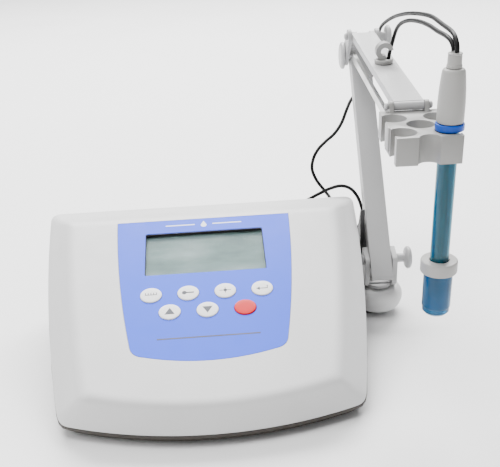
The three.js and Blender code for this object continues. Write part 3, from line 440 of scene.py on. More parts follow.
def turned(name, profile, material, place, body, radius, sides, smooth=38):
    """A turned piece about the frame's z axis: (r, h) pairs from axis to axis, or a closed ring."""
    hollow = profile[0][0] > 0
    line = rounded_profile(profile, radius)
    angles = [2 * math.pi * step / sides for step in range(sides)]
    if hollow:
        rings = [[(p.x * math.cos(a), p.x * math.sin(a), p.y) for a in angles] for p in line]
        return loft(name, rings, material, place, body, smooth, closed=True)
    vertices = [(0, 0, line[0].y)]
    for p in line[1:-1]:
        vertices += [(p.x * math.cos(a), p.x * math.sin(a), p.y) for a in angles]
    vertices.append((0, 0, line[-1].y))
    last = len(vertices) - 1
    faces = []
    for step in range(sides):
        after = (step + 1) % sides
        faces.append((0, 1 + after, 1 + step))
        faces.append((last, last - sides + step, last - sides + after))
        for ring in range(len(line) - 3):
            a = 1 + ring * sides
            faces.append((a + step, a + after, a + sides + after, a + sides + step))
    return solid(name, vertices, faces, material, place, body, smooth)


def prism(name, outline, low, high, material, place=CASE, body=None):
    """A flat outline of (x, y) from one height to another."""
    rings = [[(x, y, low) for x, y in outline], [(x, y, high) for x, y in outline]]
    return loft(name, rings, material, place, body)


def ellipse(x, y, rx, ry, steps=48):
    angles = [2 * math.pi * step / steps for step in range(steps)]
    return [(x + rx * math.cos(a), y + ry * math.sin(a)) for a in angles]


def rounded_rectangle(width, height, radius, steps=6):
    made = []
    for turn, (sx, sy) in enumerate([(1, 1), (-1, 1), (-1, -1), (1, -1)]):
        centre = Vector((sx * (width / 2 - radius), sy * (height / 2 - radius)))
        for step in range(steps + 1):
            angle = math.pi / 2 * (turn + step / steps)
            made.append(
                (centre.x + radius * math.cos(angle), centre.y + radius * math.sin(angle)))
    return made


def flat_ring(name, outer, inner, low, high, material, place, body):
    """A flat ring between two outlines with the same number of points."""
    rings = [
        [(x, y, low) for x, y in outer], [(x, y, high) for x, y in outer],
        [(x, y, high) for x, y in inner], [(x, y, low) for x, y in inner],
    ]
    return loft(name, rings, material, place, body, closed=True)


def stroke(name, points, width, low, high, material, place, body):
    """A printed line along (x, y) points."""
    left, right = [], []
    for index, point in enumerate(points):
        before = Vector(points[max(0, index - 1)])
        after = Vector(points[min(len(points) - 1, index + 1)])
        side = (after - before).normalized().orthogonal() * width / 2
        left.append(tuple(Vector(point) + side))
        right.append(tuple(Vector(point) - side))
    return prism(name, left + right[::-1], low, high, material, place, body)


# ------------------------------------------------------------------ leads
def catmull_rom(points, steps):
    """A smooth line through the points, in the given number of steps from each to the next."""
    given = [Vector(p) for p in points]
    ends = [given[0] * 2 - given[1], *given, given[-1] * 2 - given[-2]]
    made = []
    for p0, p1, p2, p3 in zip(ends, ends[1:], ends[2:], ends[3:]):
        d0, d1, d2 = ((b - a).length ** 0.5 for a, b in ((p0, p1), (p1, p2), (p2, p3)))
        start = ((p1 - p0) / d0 - (p2 - p0) / (d0 + d1) + (p2 - p1) / d1) * d1
        end = ((p2 - p1) / d1 - (p3 - p1) / (d1 + d2) + (p3 - p2) / d2) * d1
        for step in range(steps):
            t = step / steps
            made.append(
                p1 * (2 * t ** 3 - 3 * t ** 2 + 1) + p2 * (3 * t ** 2 - 2 * t ** 3)
                + start * (t ** 3 - 2 * t ** 2 + t) + end * (t ** 3 - t ** 2))
    made.append(given[-1])
    return made


def tube_rings(line, radius, sides):
    """The rings of a tube along a line, each turned as little as possible from the last."""
    rings = []
    across = (line[1] - line[0]).orthogonal().normalized()
    for index, point in enumerate(line):
        along = (line[min(index + 1, len(line) - 1)] - line[max(index - 1, 0)]).normalized()
        across = (across - along * across.dot(along)).normalized()
        other = along.cross(across)
        rings.append([
            point + (across * math.cos(a) + other * math.sin(a)) * radius
            for a in (2 * math.pi * step / sides for step in range(sides))
        ])
    return rings


ELECTRODE_LEAD = [
    (152.8, -100.3, 237.7), (152.7, -99.9, 241), (152.5, -97.2, 244.3), (152.5, -91.6, 246.6),
    (152.9, -66.3, 247.6), (153.6, -41.7, 247.6), (154.6, -8.3, 244), (155.8, 33, 237.4),
    (157, 74.7, 228.4), (157.9, 109.3, 218.3), (158.3, 124.5, 212.4), (158.6, 134, 206),
    (158.9, 138.4, 198.2), (159, 139.4, 188.5), (158.5, 139.8, 178.5), (155.8, 141.4, 169),
    (149.8, 141.3, 160.5), (141.7, 137, 155), (135, 130.7, 150), (130, 123, 144),
    (124.2, 116, 134), (117, 109.6, 127), (109, 104.6, 122.4), (101.8, 100.6, 117), (97, 97, 110),
    (95.4, 94, 102), (98.6, 91, 93), (105, 89, 84), (110.6, 94, 75), (113, 103, 67.4),
    (112.2, 112, 60.6), (109, 120.4, 55.4), (104.2, 126.8, 51.6), (99.8, 130, 47.4),
    (97.2, 128.8, 42.8), (96.2, 124, 40.4), (96, 117, 40), (96, 106, 40),
]
# Each stretch of the electrode's lead: its name, its first and last points, and the two bodies that
# it runs between.
ELECTRODE_LEAD_PARTS = [
    ("electrode_lead_front_arch", 0, 6, "electrode_holder", "upper_arm"),
    ("electrode_lead_rear_arch", 6, 10, "upper_arm", "elbow_block"),
    ("electrode_lead_elbow", 10, 18, "elbow_block", "lower_arm"),
    ("electrode_lead_drop", 18, 22, "lower_arm", "swivel_fork"),
    ("electrode_lead_tail", 22, 37, "swivel_fork", "case"),
]
TEMPERATURE_LEAD_ARCH = [
    (151.8, -96.9, 237.9), (151.6, -96.4, 240.1), (151.1, -93.6, 242.6), (150.5, -87.4, 244),
    (150, -68.4, 243.9), (149.9, -48.9, 243.9), (150.2, -23.4, 241.9), (150.5, 8.7, 236.8),
    (150.4, 30, 230.2), (150, 38.4, 224.2), (148.9, 40, 218.4), (146.7, 37.3, 212.8),
    (144.8, 33.5, 208.4), (144.2, 32.3, 205), (144.1, 32, 201.2),
]
TEMPERATURE_LEAD_TAIL = [
    (129.5, 60.3, 47), (129.7, 65, 47.5), (131.2, 70.4, 51.6), (134.4, 72, 59), (135.8, 71.6, 67.5),
    (133.6, 71, 77), (129.6, 70.6, 85.5), (124.4, 70.8, 91.2), (117, 71.4, 93.6), (108, 72.6, 91.4),
    (99.6, 76.4, 86), (91, 84, 78), (83.4, 93.4, 69.5), (77.4, 103, 61.8), (73.4, 111.4, 56.6),
    (71.2, 118.4, 52.8), (70.2, 121.6, 47.6), (70, 119.8, 42.4), (70, 114.6, 40.1), (70, 107, 40),
    (70, 99, 40),
]


def lead(name, points, first, last, bodies):
    """The stretch of a lead from its first point to its last, attached to its body when it has one,
    and left unattached when it runs between two.
    """
    line = catmull_rom(points, LINE_STEPS)[first * LINE_STEPS:last * LINE_STEPS + 1]
    rings = tube_rings(line, LEAD_DIAMETER / 2, LEAD_SIDES)
    made = loft(name + "_jacket", rings, PAINT["jacket"], smooth=50)
    if len(bodies) == 1:
        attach(made, bodies[0])
    else:
        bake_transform(made)
    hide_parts(name)


# ------------------------------------------------------------------ rear sockets and plugs
def rear_piece(name, profile, x, material, stands_for=None, radius=0.3):
    place = Matrix.Translation((x, 0, SOCKET_Z)) @ BACKWARD
    made = turned(name, profile, material, place, "case", radius, 48)
    if stands_for:
        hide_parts(stands_for)
    return made


def knurl(name, x, near, far, radius, material, count=28):
    """The raised grip ridges around a plug's sleeve."""
    root, top = radius - RIDGE["root"], radius + RIDGE["proud"]
    section = ((root, -RIDGE["root_turn"]), (top, -RIDGE["top_turn"]),
               (top, RIDGE["top_turn"]), (root, RIDGE["root_turn"]))
    vertices, faces = [], []
    for step in range(count):
        middle = 2 * math.pi * step / count
        first = len(vertices)
        for y in (near, far):
            for r, turn in section:
                vertices.append((x + r * math.cos(middle + turn), y,
                                 SOCKET_Z + r * math.sin(middle + turn)))
        for side in range(4):
            after = (side + 1) % 4
            faces.append((first + side, first + after, first + 4 + after, first + 4 + side))
        faces += [tuple(first + k for k in (3, 2, 1, 0)), tuple(first + k for k in (4, 5, 6, 7))]
    return solid(name, vertices, faces, material, body="case")


electrode_plug = rear_piece("electrode_plug_sleeve", [
    (0, 84), (6.1, 84), (6.1, 69.8), (7.1, 69.8), (7.1, 74), (6.8, 74.6), (6.8, 75.6),
    (7.1, 76.2), (7.1, 86), (5.4, 88), (5.4, 90.5), (0, 90.5),
], SOCKET_X["electrode"], PAINT["nickel"], "electrode_plug")
electrode_boot = rear_piece("electrode_plug_boot", [
    (0, 90.3), (5.2, 90.3), (4.9, 97), (4.2, 98), (4.4, 99), (3.7, 100), (3.9, 101),
    (3.2, 102), (3.4, 103), (2.7, 105.9), (0, 105.9),
], SOCKET_X["electrode"], PAINT["black"])
electrode_grip = knurl("electrode_plug_grip", SOCKET_X["electrode"], 77, 85.4, 7.1,
                       PAINT["nickel"])
temperature_plug = rear_piece("temperature_plug_sleeve", [
    (0, 84), (4.2, 84), (4.2, 69.6), (5.2, 69.6), (5.2, 84), (4.6, 86), (4.4, 89.8),
    (0, 89.8),
], SOCKET_X["temperature"], PAINT["black"], "temperature_plug")
temperature_boot = rear_piece("temperature_plug_boot", [
    (0, 89.6), (4.2, 89.6), (4, 92), (3.4, 92.8), (3.6, 93.8), (3, 94.6), (3.2, 95.6),
    (2.6, 96.4), (2.6, 98.9), (0, 98.9),
], SOCKET_X["temperature"], PAINT["black"])
temperature_grip = knurl("temperature_plug_grip", SOCKET_X["temperature"], 73, 83, 5.2,
                         PAINT["black"], 20)

for part_name, first_point, last_point, body_a, body_b in ELECTRODE_LEAD_PARTS:
    lead(part_name, ELECTRODE_LEAD, first_point, last_point, (body_a, body_b))
lead("temperature_lead_arch", TEMPERATURE_LEAD_ARCH, 0, len(TEMPERATURE_LEAD_ARCH) - 1,
     ("electrode_holder", "upper_arm"))
lead("temperature_lead_tail", TEMPERATURE_LEAD_TAIL, 0, len(TEMPERATURE_LEAD_TAIL) - 1,
     ("case",))

rear_piece("electrode_socket_shell", [
    (0, 52), (3, 52), (3, 56), (5, 56), (5, 67.2), (7.8, 67.2), (7.8, 69.2), (4.8, 69.2),
    (4.8, 80), (3.9, 80), (3.9, 71), (1.2, 71), (1.2, 78), (0, 78),
], SOCKET_X["electrode"], PAINT["nickel"], "electrode_socket")
rear_piece("temperature_socket_shell", [
    (0, 54), (4, 54), (4, 67.2), (6, 67.2), (6, 69), (3.9, 69), (3.9, 76), (2.4, 76), (2.4, 60),
    (0, 60),
], SOCKET_X["temperature"], PAINT["black"], "temperature_socket")
rear_piece("power_socket_shell", [
    (0, 52), (5, 52), (5, 67.2), (6.4, 67.2), (6.4, 69), (3.1, 69), (3.1, 58), (0, 58),
], SOCKET_X["power"], PAINT["black"], "power_socket")
rear_piece("power_socket_pin", [(0, 57.8), (1, 57.8), (1, 67), (0.5, 67.5), (0, 67.5)],
           SOCKET_X["power"], PAINT["nickel"], radius=0.2)


# ------------------------------------------------------------------ case
def plan_outline(plan, grow=0.0):
    """Points around the wedge's plan, anticlockwise."""
    front, back, side_bulge = plan["front"], plan["back"], plan["side_bulge"]
    fl = Vector((-front["half"] - grow, front["y"] - grow))
    fr = Vector((front["half"] + grow, front["y"] - grow))
    br = Vector((back["half"] + grow, back["y"] + grow))
    bl = Vector((-back["half"] - grow, back["y"] + grow))
    edges = []
    for a, b, bulge, steps in (
            (fl, fr, front["bulge"], EDGE_STEPS["front"]), (fr, br, side_bulge, EDGE_STEPS["side"]),
            (br, bl, 0, EDGE_STEPS["back"]), (bl, fl, side_bulge, EDGE_STEPS["side"])):
        along = b - a
        outward = Vector((along.y, -along.x)).normalized()
        pull = (a + b) / 2 + outward * 2 * bulge
        edges.append((a, pull, b, steps, plan["corner"] / along.length))

    def at(edge, t):
        a, pull, b = edge[:3]
        return a * (1 - t) ** 2 + pull * 2 * t * (1 - t) + b * t ** 2

    points = []
    for index, edge in enumerate(edges):
        after = edges[(index + 1) % 4]
        trim = edge[4]
        for step in range(edge[3] + 1):
            points.append(at(edge, trim + (1 - 2 * trim) * step / edge[3]))
        start, end = at(edge, 1 - trim), at(after, after[4])
        for step in range(1, CORNER_STEPS):
            t = step / CORNER_STEPS
            points.append(start * (1 - t) ** 2 + edge[2] * 2 * t * (1 - t) + end * t ** 2)
    return points


def face_height(y):
    return FACE_FRONT_Z + math.tan(FACE_TILT) * (y - FACE_FRONT["y"])


def rim_height(y):
    return RIM_FRONT_Z + RIM_SLOPE * max(0.0, y - RIM_FRONT["y"])


def ring_at(outline, height):
    return [Vector((p.x, p.y, height(p.y))) for p in outline]


def mix_rings(a, b, t):
    return [p.lerp(q, t) for p, q in zip(a, b)]


def bent(a, b, c, t):
    """The ring a share of the way round the soft corner b between rings a and c."""
    return [
        p * (1 - t) ** 2 + q * 2 * t * (1 - t) + r * t ** 2 for p, q, r in zip(a, b, c)]


def shell_rings():
    """The cover's rings, from its lower edge up the soft-shouldered sides to the face."""
    rim = ring_at(plan_outline(RIM_PLAN), rim_height)
    face = ring_at(plan_outline(FACE_PLAN), face_height)
    inset = ring_at(plan_outline(FACE_PLAN, -FACE_INSET), face_height)
    shoulder = mix_rings(face, rim, 0.2)
    above = [p + Vector((0, 0, RIM_LIP)) for p in rim]
    skirt = mix_rings(above, face, 0.06)
    rings = [rim, above]
    rings += [bent(above, skirt, mix_rings(skirt, face, 0.1), t) for t in (0.5, 1.0)]
    rings += [mix_rings(rim, face, t) for t in (0.35, 0.55, 0.7)]
    rings += [bent(shoulder, face, inset, t / 6) for t in range(7)]
    return rings


def label_outline(grow=0.0, steps=14):
    """Straight top, sides and bottom bowed out, rounded lower corners."""
    top_half, bottom_half = LABEL["top_half"] + grow, LABEL["bottom_half"] + grow
    high, low = LABEL["high"] + grow, LABEL["low"] - grow
    corner, side_bow, bottom_bow = LABEL_BOW["corner"], LABEL_BOW["side"], LABEL_BOW["bottom"]
    middle = Vector(((top_half + bottom_half) / 2 + side_bow, (high + low) / 2))
    right = [
        (Vector((0, low - bottom_bow / 2 - 0.75)), Vector(((bottom_half - corner) / 2, low - 7.75)),
         Vector((bottom_half - corner, low - 1.5))),
        (Vector((bottom_half - corner, low - 1.5)), Vector((bottom_half, low)),
         Vector((bottom_half + 1, low + corner))),
        (Vector((bottom_half + 1, low + corner)), middle, Vector((top_half, high))),
    ]
    half = []
    for a, b, c in right:
        half += [a * (1 - t) ** 2 + b * 2 * t * (1 - t) + c * t ** 2
                 for t in (k / steps for k in range(steps))]
    half.append(Vector((top_half, high)))
    return [(p.x, p.y) for p in half] + [(-p.x, p.y) for p in reversed(half[1:])]


KEYS = [
    ("key_ph_mv", -1.5 * KEY["pitch"], KEY_ROWS[0]),
    ("key_temp", -0.5 * KEY["pitch"], KEY_ROWS[0]),
    ("key_calib", 0.5 * KEY["pitch"], KEY_ROWS[0]),
    ("key_enter", 1.5 * KEY["pitch"], KEY_ROWS[0]),
    ("key_up", -KEY["pitch"], KEY_ROWS[1]),
    ("key_down", 0, KEY_ROWS[1]),
    ("key_power", KEY["pitch"], KEY_ROWS[1]),
]


def key_cutters(ending, clearance, material):
    """A cutting solid for each key's hole, wider than the key by the clearance all round."""
    return [
        prism(name + ending, ellipse(x, v, KEY["rx"] + clearance, KEY["ry"] + clearance),
              *CUT_REACH, material, FACE)
        for name, x, v in KEYS
    ]


def make_shell():
    outer = loft("shell_cover", shell_rings(), PAINT["shell"], smooth=28)
    drop = WALL / math.cos(FACE_TILT)
    inner = loft("shell_inside", [
        ring_at(plan_outline(RIM_PLAN, -WALL), lambda y: rim_height(y) - 12),
        ring_at(plan_outline(RIM_PLAN, -WALL), lambda y: rim_height(y) - 0.5),
        ring_at(plan_outline(FACE_PLAN, -3), lambda y: face_height(y) - drop),
    ], PAINT["shell"])
    recess = prism("label_recess", label_outline(0.3), -LABEL_DEPTH - 0.3, 5, PAINT["shell"], FACE)
    opening = prism("window_opening", rounded_rectangle(WINDOW["width"], WINDOW["height"], 1.5),
                    *CUT_REACH, PAINT["shell"], FACE)
    cut(outer, inner, recess, opening, *key_cutters("_hole", KEY_CLEARANCE, PAINT["shell"]))
    tidy_mesh(outer, 28)
    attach(outer, "case")
    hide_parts("top_shell")
    # A black frame lining the window's recess: painted shade, standing in for the shade on the
    # recess walls.
    recess_shade_frame = flat_ring(
        "window_recess_shade_frame", rounded_rectangle(WINDOW["width"] + 1.2, WINDOW["height"] + 1.2, 2),
        rounded_rectangle(WINDOW["width"] - 0.9, WINDOW["height"] - 0.9, 1.2),
        -WINDOW["depth"] - 0.25, -LABEL_DEPTH - 0.55, PAINT["recess_shade"], FACE, "case")


def make_label():
    sheet = prism("label_sheet", label_outline(), -LABEL_DEPTH, 0, PAINT["label"], FACE)
    opening = prism(
        "label_window", rounded_rectangle(WINDOW["width"] - 0.2, WINDOW["height"] - 0.2, 1.4),
        *CUT_REACH, PAINT["label"], FACE)
    cut(sheet, opening, *key_cutters("_cut", LABEL_CLEARANCE, PAINT["label"]))
    tidy_mesh(sheet)
    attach(sheet, "case")
    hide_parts("front_label")


def make_key(name, x, v):
    red = name == "key_power"
    rings = [
        [(px, py, height) for px, py in ellipse(x, v, KEY["rx"] - inset, KEY["ry"] - inset)]
        for inset, height in KEY_PROFILE
    ]
    made = loft(name + "_cap", rings, PAINT["red_key" if red else "key"], FACE, name, 30)
    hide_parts(name)


def print_on(name, outline_or_line, body, width=None, height=1.0, ink="legend"):
    """A thin mark of ink on a key (height 1) or on the label (height 0)."""
    low, high = height - INK_DEPTH, height + INK_DEPTH
    if width:
        stroke(name, outline_or_line, width, low, high, PAINT[ink], FACE, body)
    else:
        prism(name, outline_or_line, low, high, PAINT[ink], FACE, body)


def make_legends():
    """A scale, a thermometer, a target, a return arrow and two triangles, and the label's marks."""
    x, v = KEYS[0][1:]
    print_on("mark_scale", [(x - 4.2, v - 0.1), (x + 4.2, v - 0.1)], "key_ph_mv", 0.55)
    for index, step in enumerate((-4, -2, 0, 2, 4)):
        print_on(f"mark_scale_tick_{index}", [(x + step, v - 0.1), (x + step, v + 1.9)],
                 "key_ph_mv", 0.55)
    x, v = KEYS[1][1:]
    print_on("mark_thermometer", [(x - 1.6, v), (x + 4.2, v)], "key_temp", 1.1)
    print_on("mark_thermometer_bulb", ellipse(x - 2.8, v, 1.7, 1.7, 24), "key_temp")
    x, v = KEYS[2][1:]
    print_on("mark_target_line", [(x - 4.2, v), (x + 4.2, v)], "key_calib", 0.5)
    print_on("mark_target_post", [(x, v - 2.6), (x, v + 2.6)], "key_calib", 0.5)
    print_on("mark_target_dot", ellipse(x, v, 1.3, 1.3, 24), "key_calib")
    x, v = KEYS[3][1:]
    print_on("mark_return", [(x + 3.8, v + 2.2), (x + 3.8, v - 0.6), (x - 2, v - 0.6)],
             "key_enter", 0.7)
    print_on("mark_return_head", [(x - 4.4, v - 0.6), (x - 1.8, v - 2.2), (x - 1.8, v + 1)],
             "key_enter")
    x, v = KEYS[4][1:]
    print_on("mark_up", [(x - 3.6, v - 2.6), (x + 3.6, v - 2.6), (x, v + 3.4)], "key_up")
    x, v = KEYS[5][1:]
    print_on("mark_down", [(x - 3.6, v + 2.6), (x, v - 3.4), (x + 3.6, v + 2.6)], "key_down")
    drop_sides = 32
    round_end = ellipse(0, 29.6, 2.3, 2.3, drop_sides)
    drop = [round_end[step % drop_sides] for step in range(12, 37)] + [(0, 34.4)]
    print_on("mark_drop", drop, "case", height=0, ink="white_ink")
    for side in (-1, 1):
        print_on(f"mark_rule_{side}", [(7 * side, 30.6), (30 * side, 30.6)], "case", 1.1, 0,
                 "white_ink")
    print_on("mark_lower_rule", [(-36, -84.5), (36, -84.5)], "case", 1.3, 0)


def make_case():
    make_shell()
    make_label()
    for name, x, v in KEYS:
        make_key(name, x, v)
    make_legends()


make_case()


# ------------------------------------------------------------------ arm pieces
def arm_turned(name, profile, pivot, body, stands_for, material, radius=0.5, sides=56):
    place = ARM @ Matrix.Translation((0, *pivot)) @ ACROSS
    made = turned(name, profile, material, place, body, radius, sides)
    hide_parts(stands_for)


def make_arm():
    dome = turned("arm_foot_dome", [
        (0, 3.4), (13, 3.4), (16.5, 5), (19, 8.5), (20.3, 12.5), (20.5, 16), (19.9, 19),
        (18.2, 21.8), (15.5, 23.5), (5.4, 23.5), (5.4, 9), (0, 9),
    ], PAINT["shell"], ARM, "case", 1.5, 72)
    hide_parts("arm_base")
    arm_turned("clamp_knob", [
        (0, -15), (3.6, -15), (4.2, -14.2), (4.2, -12.7), (2.5, -12.7), (2.5, 14), (3.6, 14),
        (3.4, 20.4), (7.6, 20.8), (9.1, 22), (9.1, 24), (7.6, 25.3), (0, 25.8),
    ], LOWER_PIVOT, "lower_knob", "lower_knob", PAINT["knob"])
    arm_turned("elbow_cap", [
        (0, -16.8), (9.2, -16.8), (11.3, -15.6), (11.3, -13.4), (2.6, -13.4), (2.6, 13.4),
        (0, 13.4),
    ], ELBOW, "elbow_block", "elbow_pin", PAINT["arm"])
    arm_turned("upper_pin_ball", [
        (0, -15.9), (2.1, -15.6), (3, -14.3), (2.1, -13.2), (2.1, 12.2), (0, 12.2),
    ], UPPER_PIVOT, "elbow_block", "upper_hinge_pin", PAINT["arm"], 0.6, 36)
    arm_turned("holder_pin_balls", [
        (0, -15.7), (1.8, -15.4), (2.6, -14.3), (1.6, -13.2), (1.6, 13.2), (2.6, 14.3),
        (1.8, 15.4), (0, 15.7),
    ], HOLDER_PIVOT, "upper_arm", "holder_hinge_pin", PAINT["arm"], 0.6, 36)


def make_spring():
    """A wound wire between the upper arm's two ribs, with straight ends."""
    x, z, start, end, turns, coil, wire = SPRING.values()
    line = [Vector((x, 64.4, z)), Vector((x, 80, z))]
    steps = turns * SPRING_STEPS_PER_TURN
    for step in range(steps + 1):
        angle = 2 * math.pi * turns * step / steps
        grow = min(1.0, step / 8, (steps - step) / 8)
        line.append(Vector((
            x + coil * grow * math.cos(angle), start + (end - start) * step / steps,
            z + coil * grow * math.sin(angle))))
    line += [Vector((x, 148, z)), Vector((x, 149.6, z))]
    made = loft("wound_spring", tube_rings(line, wire, 8), PAINT["steel"], UPPER_ARM,
                "upper_arm", 60)
    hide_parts("balance_spring")


def block(name, x0, x1, y0, y1, z0, z1, material):
    """A box in the arm's frame."""
    outline = [(x0, y0), (x1, y0), (x1, y1), (x0, y1)]
    return prism(name, outline, z0, z1, material, ARM)


def make_holder():
    s, half = HOLDER["s"], HOLDER["half"]
    low, high = HOLDER["bottom"], HOLDER["top"]
    paint = PAINT["holder"]
    body = block("holder_block", s - half, s + half, HOLDER["front"], HOLDER["rear"], low, high,
                 paint)
    belt = block("holder_belt", s - half - HOLDER_BELT["proud"], s + half + HOLDER_BELT["proud"],
                 HOLE["middle"] - HOLDER_BELT["half"], HOLE["middle"] + HOLDER_BELT["half"],
                 low + HOLDER_BELT["lift"], high - 0.02, paint)
    holes = [
        prism(f"holder_bore_{index}", ellipse(s + dx, t, HOLE["radius"], HOLE["radius"], 72),
              low - 5, high + 5, paint, ARM)
        for index, (dx, t) in enumerate([
            (-HOLE["side"], HOLE["rear"]), (HOLE["side"], HOLE["rear"]), (0, HOLE["middle"]),
            (-HOLE["side"], HOLE["front"]), (HOLE["side"], HOLE["front"])])
    ]
    notch = prism("holder_notch", ellipse(s, HOLDER["front"] - 1, NOTCH_RADIUS, NOTCH_RADIUS),
                  low - 5, high + 5, paint, ARM)
    ears = []
    # lays an outline of (y, z) across the arm, so that its height runs along x
    across = ARM @ Matrix(((0, 0, 1, 0), (1, 0, 0, 0), (0, 1, 0, 0), (0, 0, 0, 1)))
    link = (HOLDER_PIVOT[0] + LINK_OFFSET[0], HOLDER_PIVOT[1] + LINK_OFFSET[1])
    inner, outer = HOLDER_EAR["inner"], HOLDER_EAR["outer"]
    eye, root = (*HOLDER_PIVOT, HOLDER_EAR["radius"]), (HOLDER_PIVOT[0] - 1.5, low + 7, 6)
    link_eye = (*link, HOLDER_LINK_EAR["radius"])
    link_root = (HOLDER["rear"] - 2, low + 5.5, 4.6)
    for x0, x1, a, b in (
            (-outer, -inner, eye, root), (inner, outer, eye, root),
            (HOLDER_LINK_EAR["outer"], HOLDER_LINK_EAR["inner"], link_eye, link_root)):
        ears.append(prism("holder_ear", hull_of_circles(a, b), x0, x1, paint, across))
    pin = prism("holder_link_pin", ellipse(*link, LINK_PIN_RADIUS, LINK_PIN_RADIUS, 20),
                -9.2, -5.2, paint, across)
    cut(body, belt, *ears, pin, operation="UNION")
    pin_hole = prism("holder_pin_hole",
                     ellipse(*HOLDER_PIVOT, PIN_HOLE_RADIUS, PIN_HOLE_RADIUS, 32),
                     -20, 20, paint, across)
    cut(body, *holes, notch, pin_hole)
    bevel_edges(body, 0.5, 2, 40)
    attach(body, "electrode_holder")
    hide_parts("electrode_holder")


def hull_of_circles(a, b, steps=20):
    """The outline of two round ends, (x, y, r) each, and the straight sides that touch both."""
    start, end = Vector(a[:2]), Vector(b[:2])
    angle = math.atan2(*(end - start).yx)
    open_by = math.acos((a[2] - b[2]) / (end - start).length)
    made = []
    for centre, r, first, sweep in (
            (start, a[2], angle + open_by, 2 * math.pi - 2 * open_by),
            (end, b[2], angle - open_by, 2 * open_by)):
        for step in range(steps + 1):
            turn = first + sweep * step / steps
            made.append((centre.x + r * math.cos(turn), centre.y + r * math.sin(turn)))
    return made


def make_electrode():
    place = ARM @ Matrix.Translation((*ELECTRODE, 0))

    def piece(name, profile, material, stands_for, body="electrode_holder", radius=0.5, sides=64):
        made = turned(name, profile, material, place, body, radius, sides)
        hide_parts(stands_for)

    piece("cap_shell", [
        (0, 196.9), (7.8, 196.9), (8.1, 198.5), (8.15, 209), (7.8, 216.5), (7.2, 223.3),
        (6.7, 227.4), (5.7, 228.6), (0, 228.6),
    ], PAINT["cap"], "electrode_cap", radius=1.0)
    piece("lead_boot", [
        (0, 228.8), (4.6, 228.8), (4.5, 230.6), (4.2, 231), (4.1, 235.8), (3.9, 236.1),
        (4.2, 236.5), (4.2, 237.2), (3.9, 237.4), (0, 237.4),
    ], PAINT["cap"], "strain_relief", radius=0.3)
    piece("blue_ring", [
        (6.4, 192.5), (8.5, 192.5), (8.75, 193), (8.75, 196.1), (8.5, 196.6), (6.4, 196.6),
    ], PAINT["ring"], "seal_ring", radius=0.3)
    piece("tube_wall", [
        (4.9, 81), (5.6, 81), (6, 82), (6, 196.6), (4.9, 196.6),
    ], PAINT["tube"], "electrode_body", radius=0.3)
    piece("glass_stem", [
        (0, 77.5), (1.8, 77.9), (3.4, 79.4), (4, 81.4), (3.6, 84), (2.4, 86.2), (1.7, 88),
        (1.7, 111), (2.5, 115), (2.5, 153), (1.7, 157), (1.7, 168), (2.6, 172), (2.6, 196.3),
        (0, 196.3),
    ], PAINT["core"], "inner_electrode", radius=0.6, sides=40)
    piece("collar", [
        (6.4, 97.9), (11.5, 97.9), (11.9, 98.6), (11.9, 105.6), (11.3, 106.3), (6.4, 106.3),
    ], PAINT["cap"], "bottle_collar", "soaking_bottle", 0.5)
    piece("bottle", [
        (0, 67.4), (7.2, 67.4), (8.9, 69.4), (8.9, 72.4), (9.35, 73), (9.35, 97.5), (8.2, 97.5),
        (8.2, 73), (7, 70.2), (0, 69.4),
    ], PAINT["bottle"], "soaking_bottle", "soaking_bottle", 0.4)


make_arm()
make_spring()
make_holder()
make_electrode()

# ------------------------------------------------------------------ carried-over pieces
CARRIED = dict(
    base=["base_pan"], window=["display_window"], display=["display_module"],
    board=["key_board", "main_board"], black=["arm_bracket"],
    arm=["swivel_fork", "lower_arm", "elbow_block", "upper_arm"],
    steel=["lower_link", "upper_link", "case_screw_front_left", "case_screw_front_right",
           "case_screw_rear_left", "case_screw_rear_right", "bracket_screw_front",
           "bracket_screw_rear"],
    holder=["lead_clip"],
    rubber=["foot_front_left", "foot_front_right", "foot_rear_left", "foot_rear_right"],
)


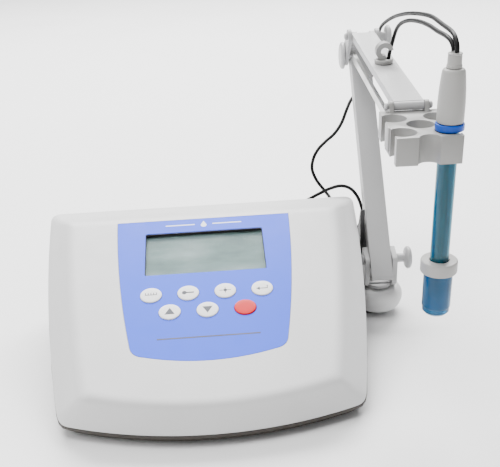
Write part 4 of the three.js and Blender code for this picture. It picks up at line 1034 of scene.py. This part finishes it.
def smooth_group():
    """A modifier that shades smooth and keeps edges over 35 degrees sharp."""
    group = bpy.data.node_groups.new("smooth_by_angle", "GeometryNodeTree")
    group.interface.new_socket("Geometry", in_out="INPUT", socket_type="NodeSocketGeometry")
    group.interface.new_socket("Geometry", in_out="OUTPUT", socket_type="NodeSocketGeometry")
    start = group.nodes.new("NodeGroupInput")
    end = group.nodes.new("NodeGroupOutput")
    weld = node(group, "GeometryNodeMergeByDistance", Distance=1e-6)
    faces = group.nodes.new("GeometryNodeSetShadeSmooth")
    edges = group.nodes.new("GeometryNodeSetShadeSmooth")
    edges.domain = "EDGE"
    edges.inputs["Shade Smooth"].default_value = False
    angle = group.nodes.new("GeometryNodeInputMeshEdgeAngle")
    sharp = group.nodes.new("FunctionNodeCompare")
    sharp.operation = "GREATER_THAN"
    sharp.inputs["B"].default_value = math.radians(35)
    group.links.new(angle.outputs["Unsigned Angle"], sharp.inputs["A"])
    group.links.new(sharp.outputs["Result"], edges.inputs["Selection"])
    group.links.new(start.outputs[0], weld.inputs["Geometry"])
    group.links.new(weld.outputs["Geometry"], faces.inputs["Geometry"])
    group.links.new(faces.outputs["Geometry"], edges.inputs["Geometry"])
    group.links.new(edges.outputs["Geometry"], end.inputs[0])
    return group


def dress_carried():
    group = smooth_group()
    for paint, names in CARRIED.items():
        for name in names:
            made = NODES[name]
            made.data.materials.clear()
            made.data.materials.append(PAINT[paint])
            made.modifiers.new("smooth", "NODES").node_group = group


dress_carried()


# ------------------------------------------------------------------ studio
def area_light(name, place, target, size, power):
    light = bpy.data.lights.new(name, "AREA")
    light.shape = "RECTANGLE"
    light.size, light.size_y = size
    light.energy = power
    made = bpy.data.objects.new(name, light)
    bpy.context.scene.collection.objects.link(made)
    made.location = place
    made.rotation_euler = (Vector(target) - Vector(place)).to_track_quat("-Z", "Y").to_euler()


def make_studio():
    reach = 4
    floor = solid("floor", [(x / MM + CENTRE.x, y / MM + CENTRE.y, 0) for x, y in (
        (-reach, -reach), (reach, -reach), (reach, reach), (-reach, reach))], [(0, 1, 2, 3)],
        plastic("floor_white", (0.9, 0.9, 0.9), 0.7, 300, 0.00001, 0.0, 0.004, 2))
    world = bpy.data.worlds.new("studio")
    bpy.context.scene.world = world
    world.use_nodes = True
    background = world.node_tree.nodes["Background"]
    background.inputs["Color"].default_value = (1, 1, 1, 1)
    background.inputs["Strength"].default_value = 0.45
    area_light("back_light", (0.1, 1.5, 1.75), (0, 0, 0), (2.4, 1.0), 175)
    area_light("top_light", (-0.25, -0.15, 1.9), (0, 0, 0), (1.1, 0.9), 30)
    area_light("key_light", (-1.2, -0.5, 1.1), (0, 0, 0.05), (0.8, 0.8), 12)


make_studio()
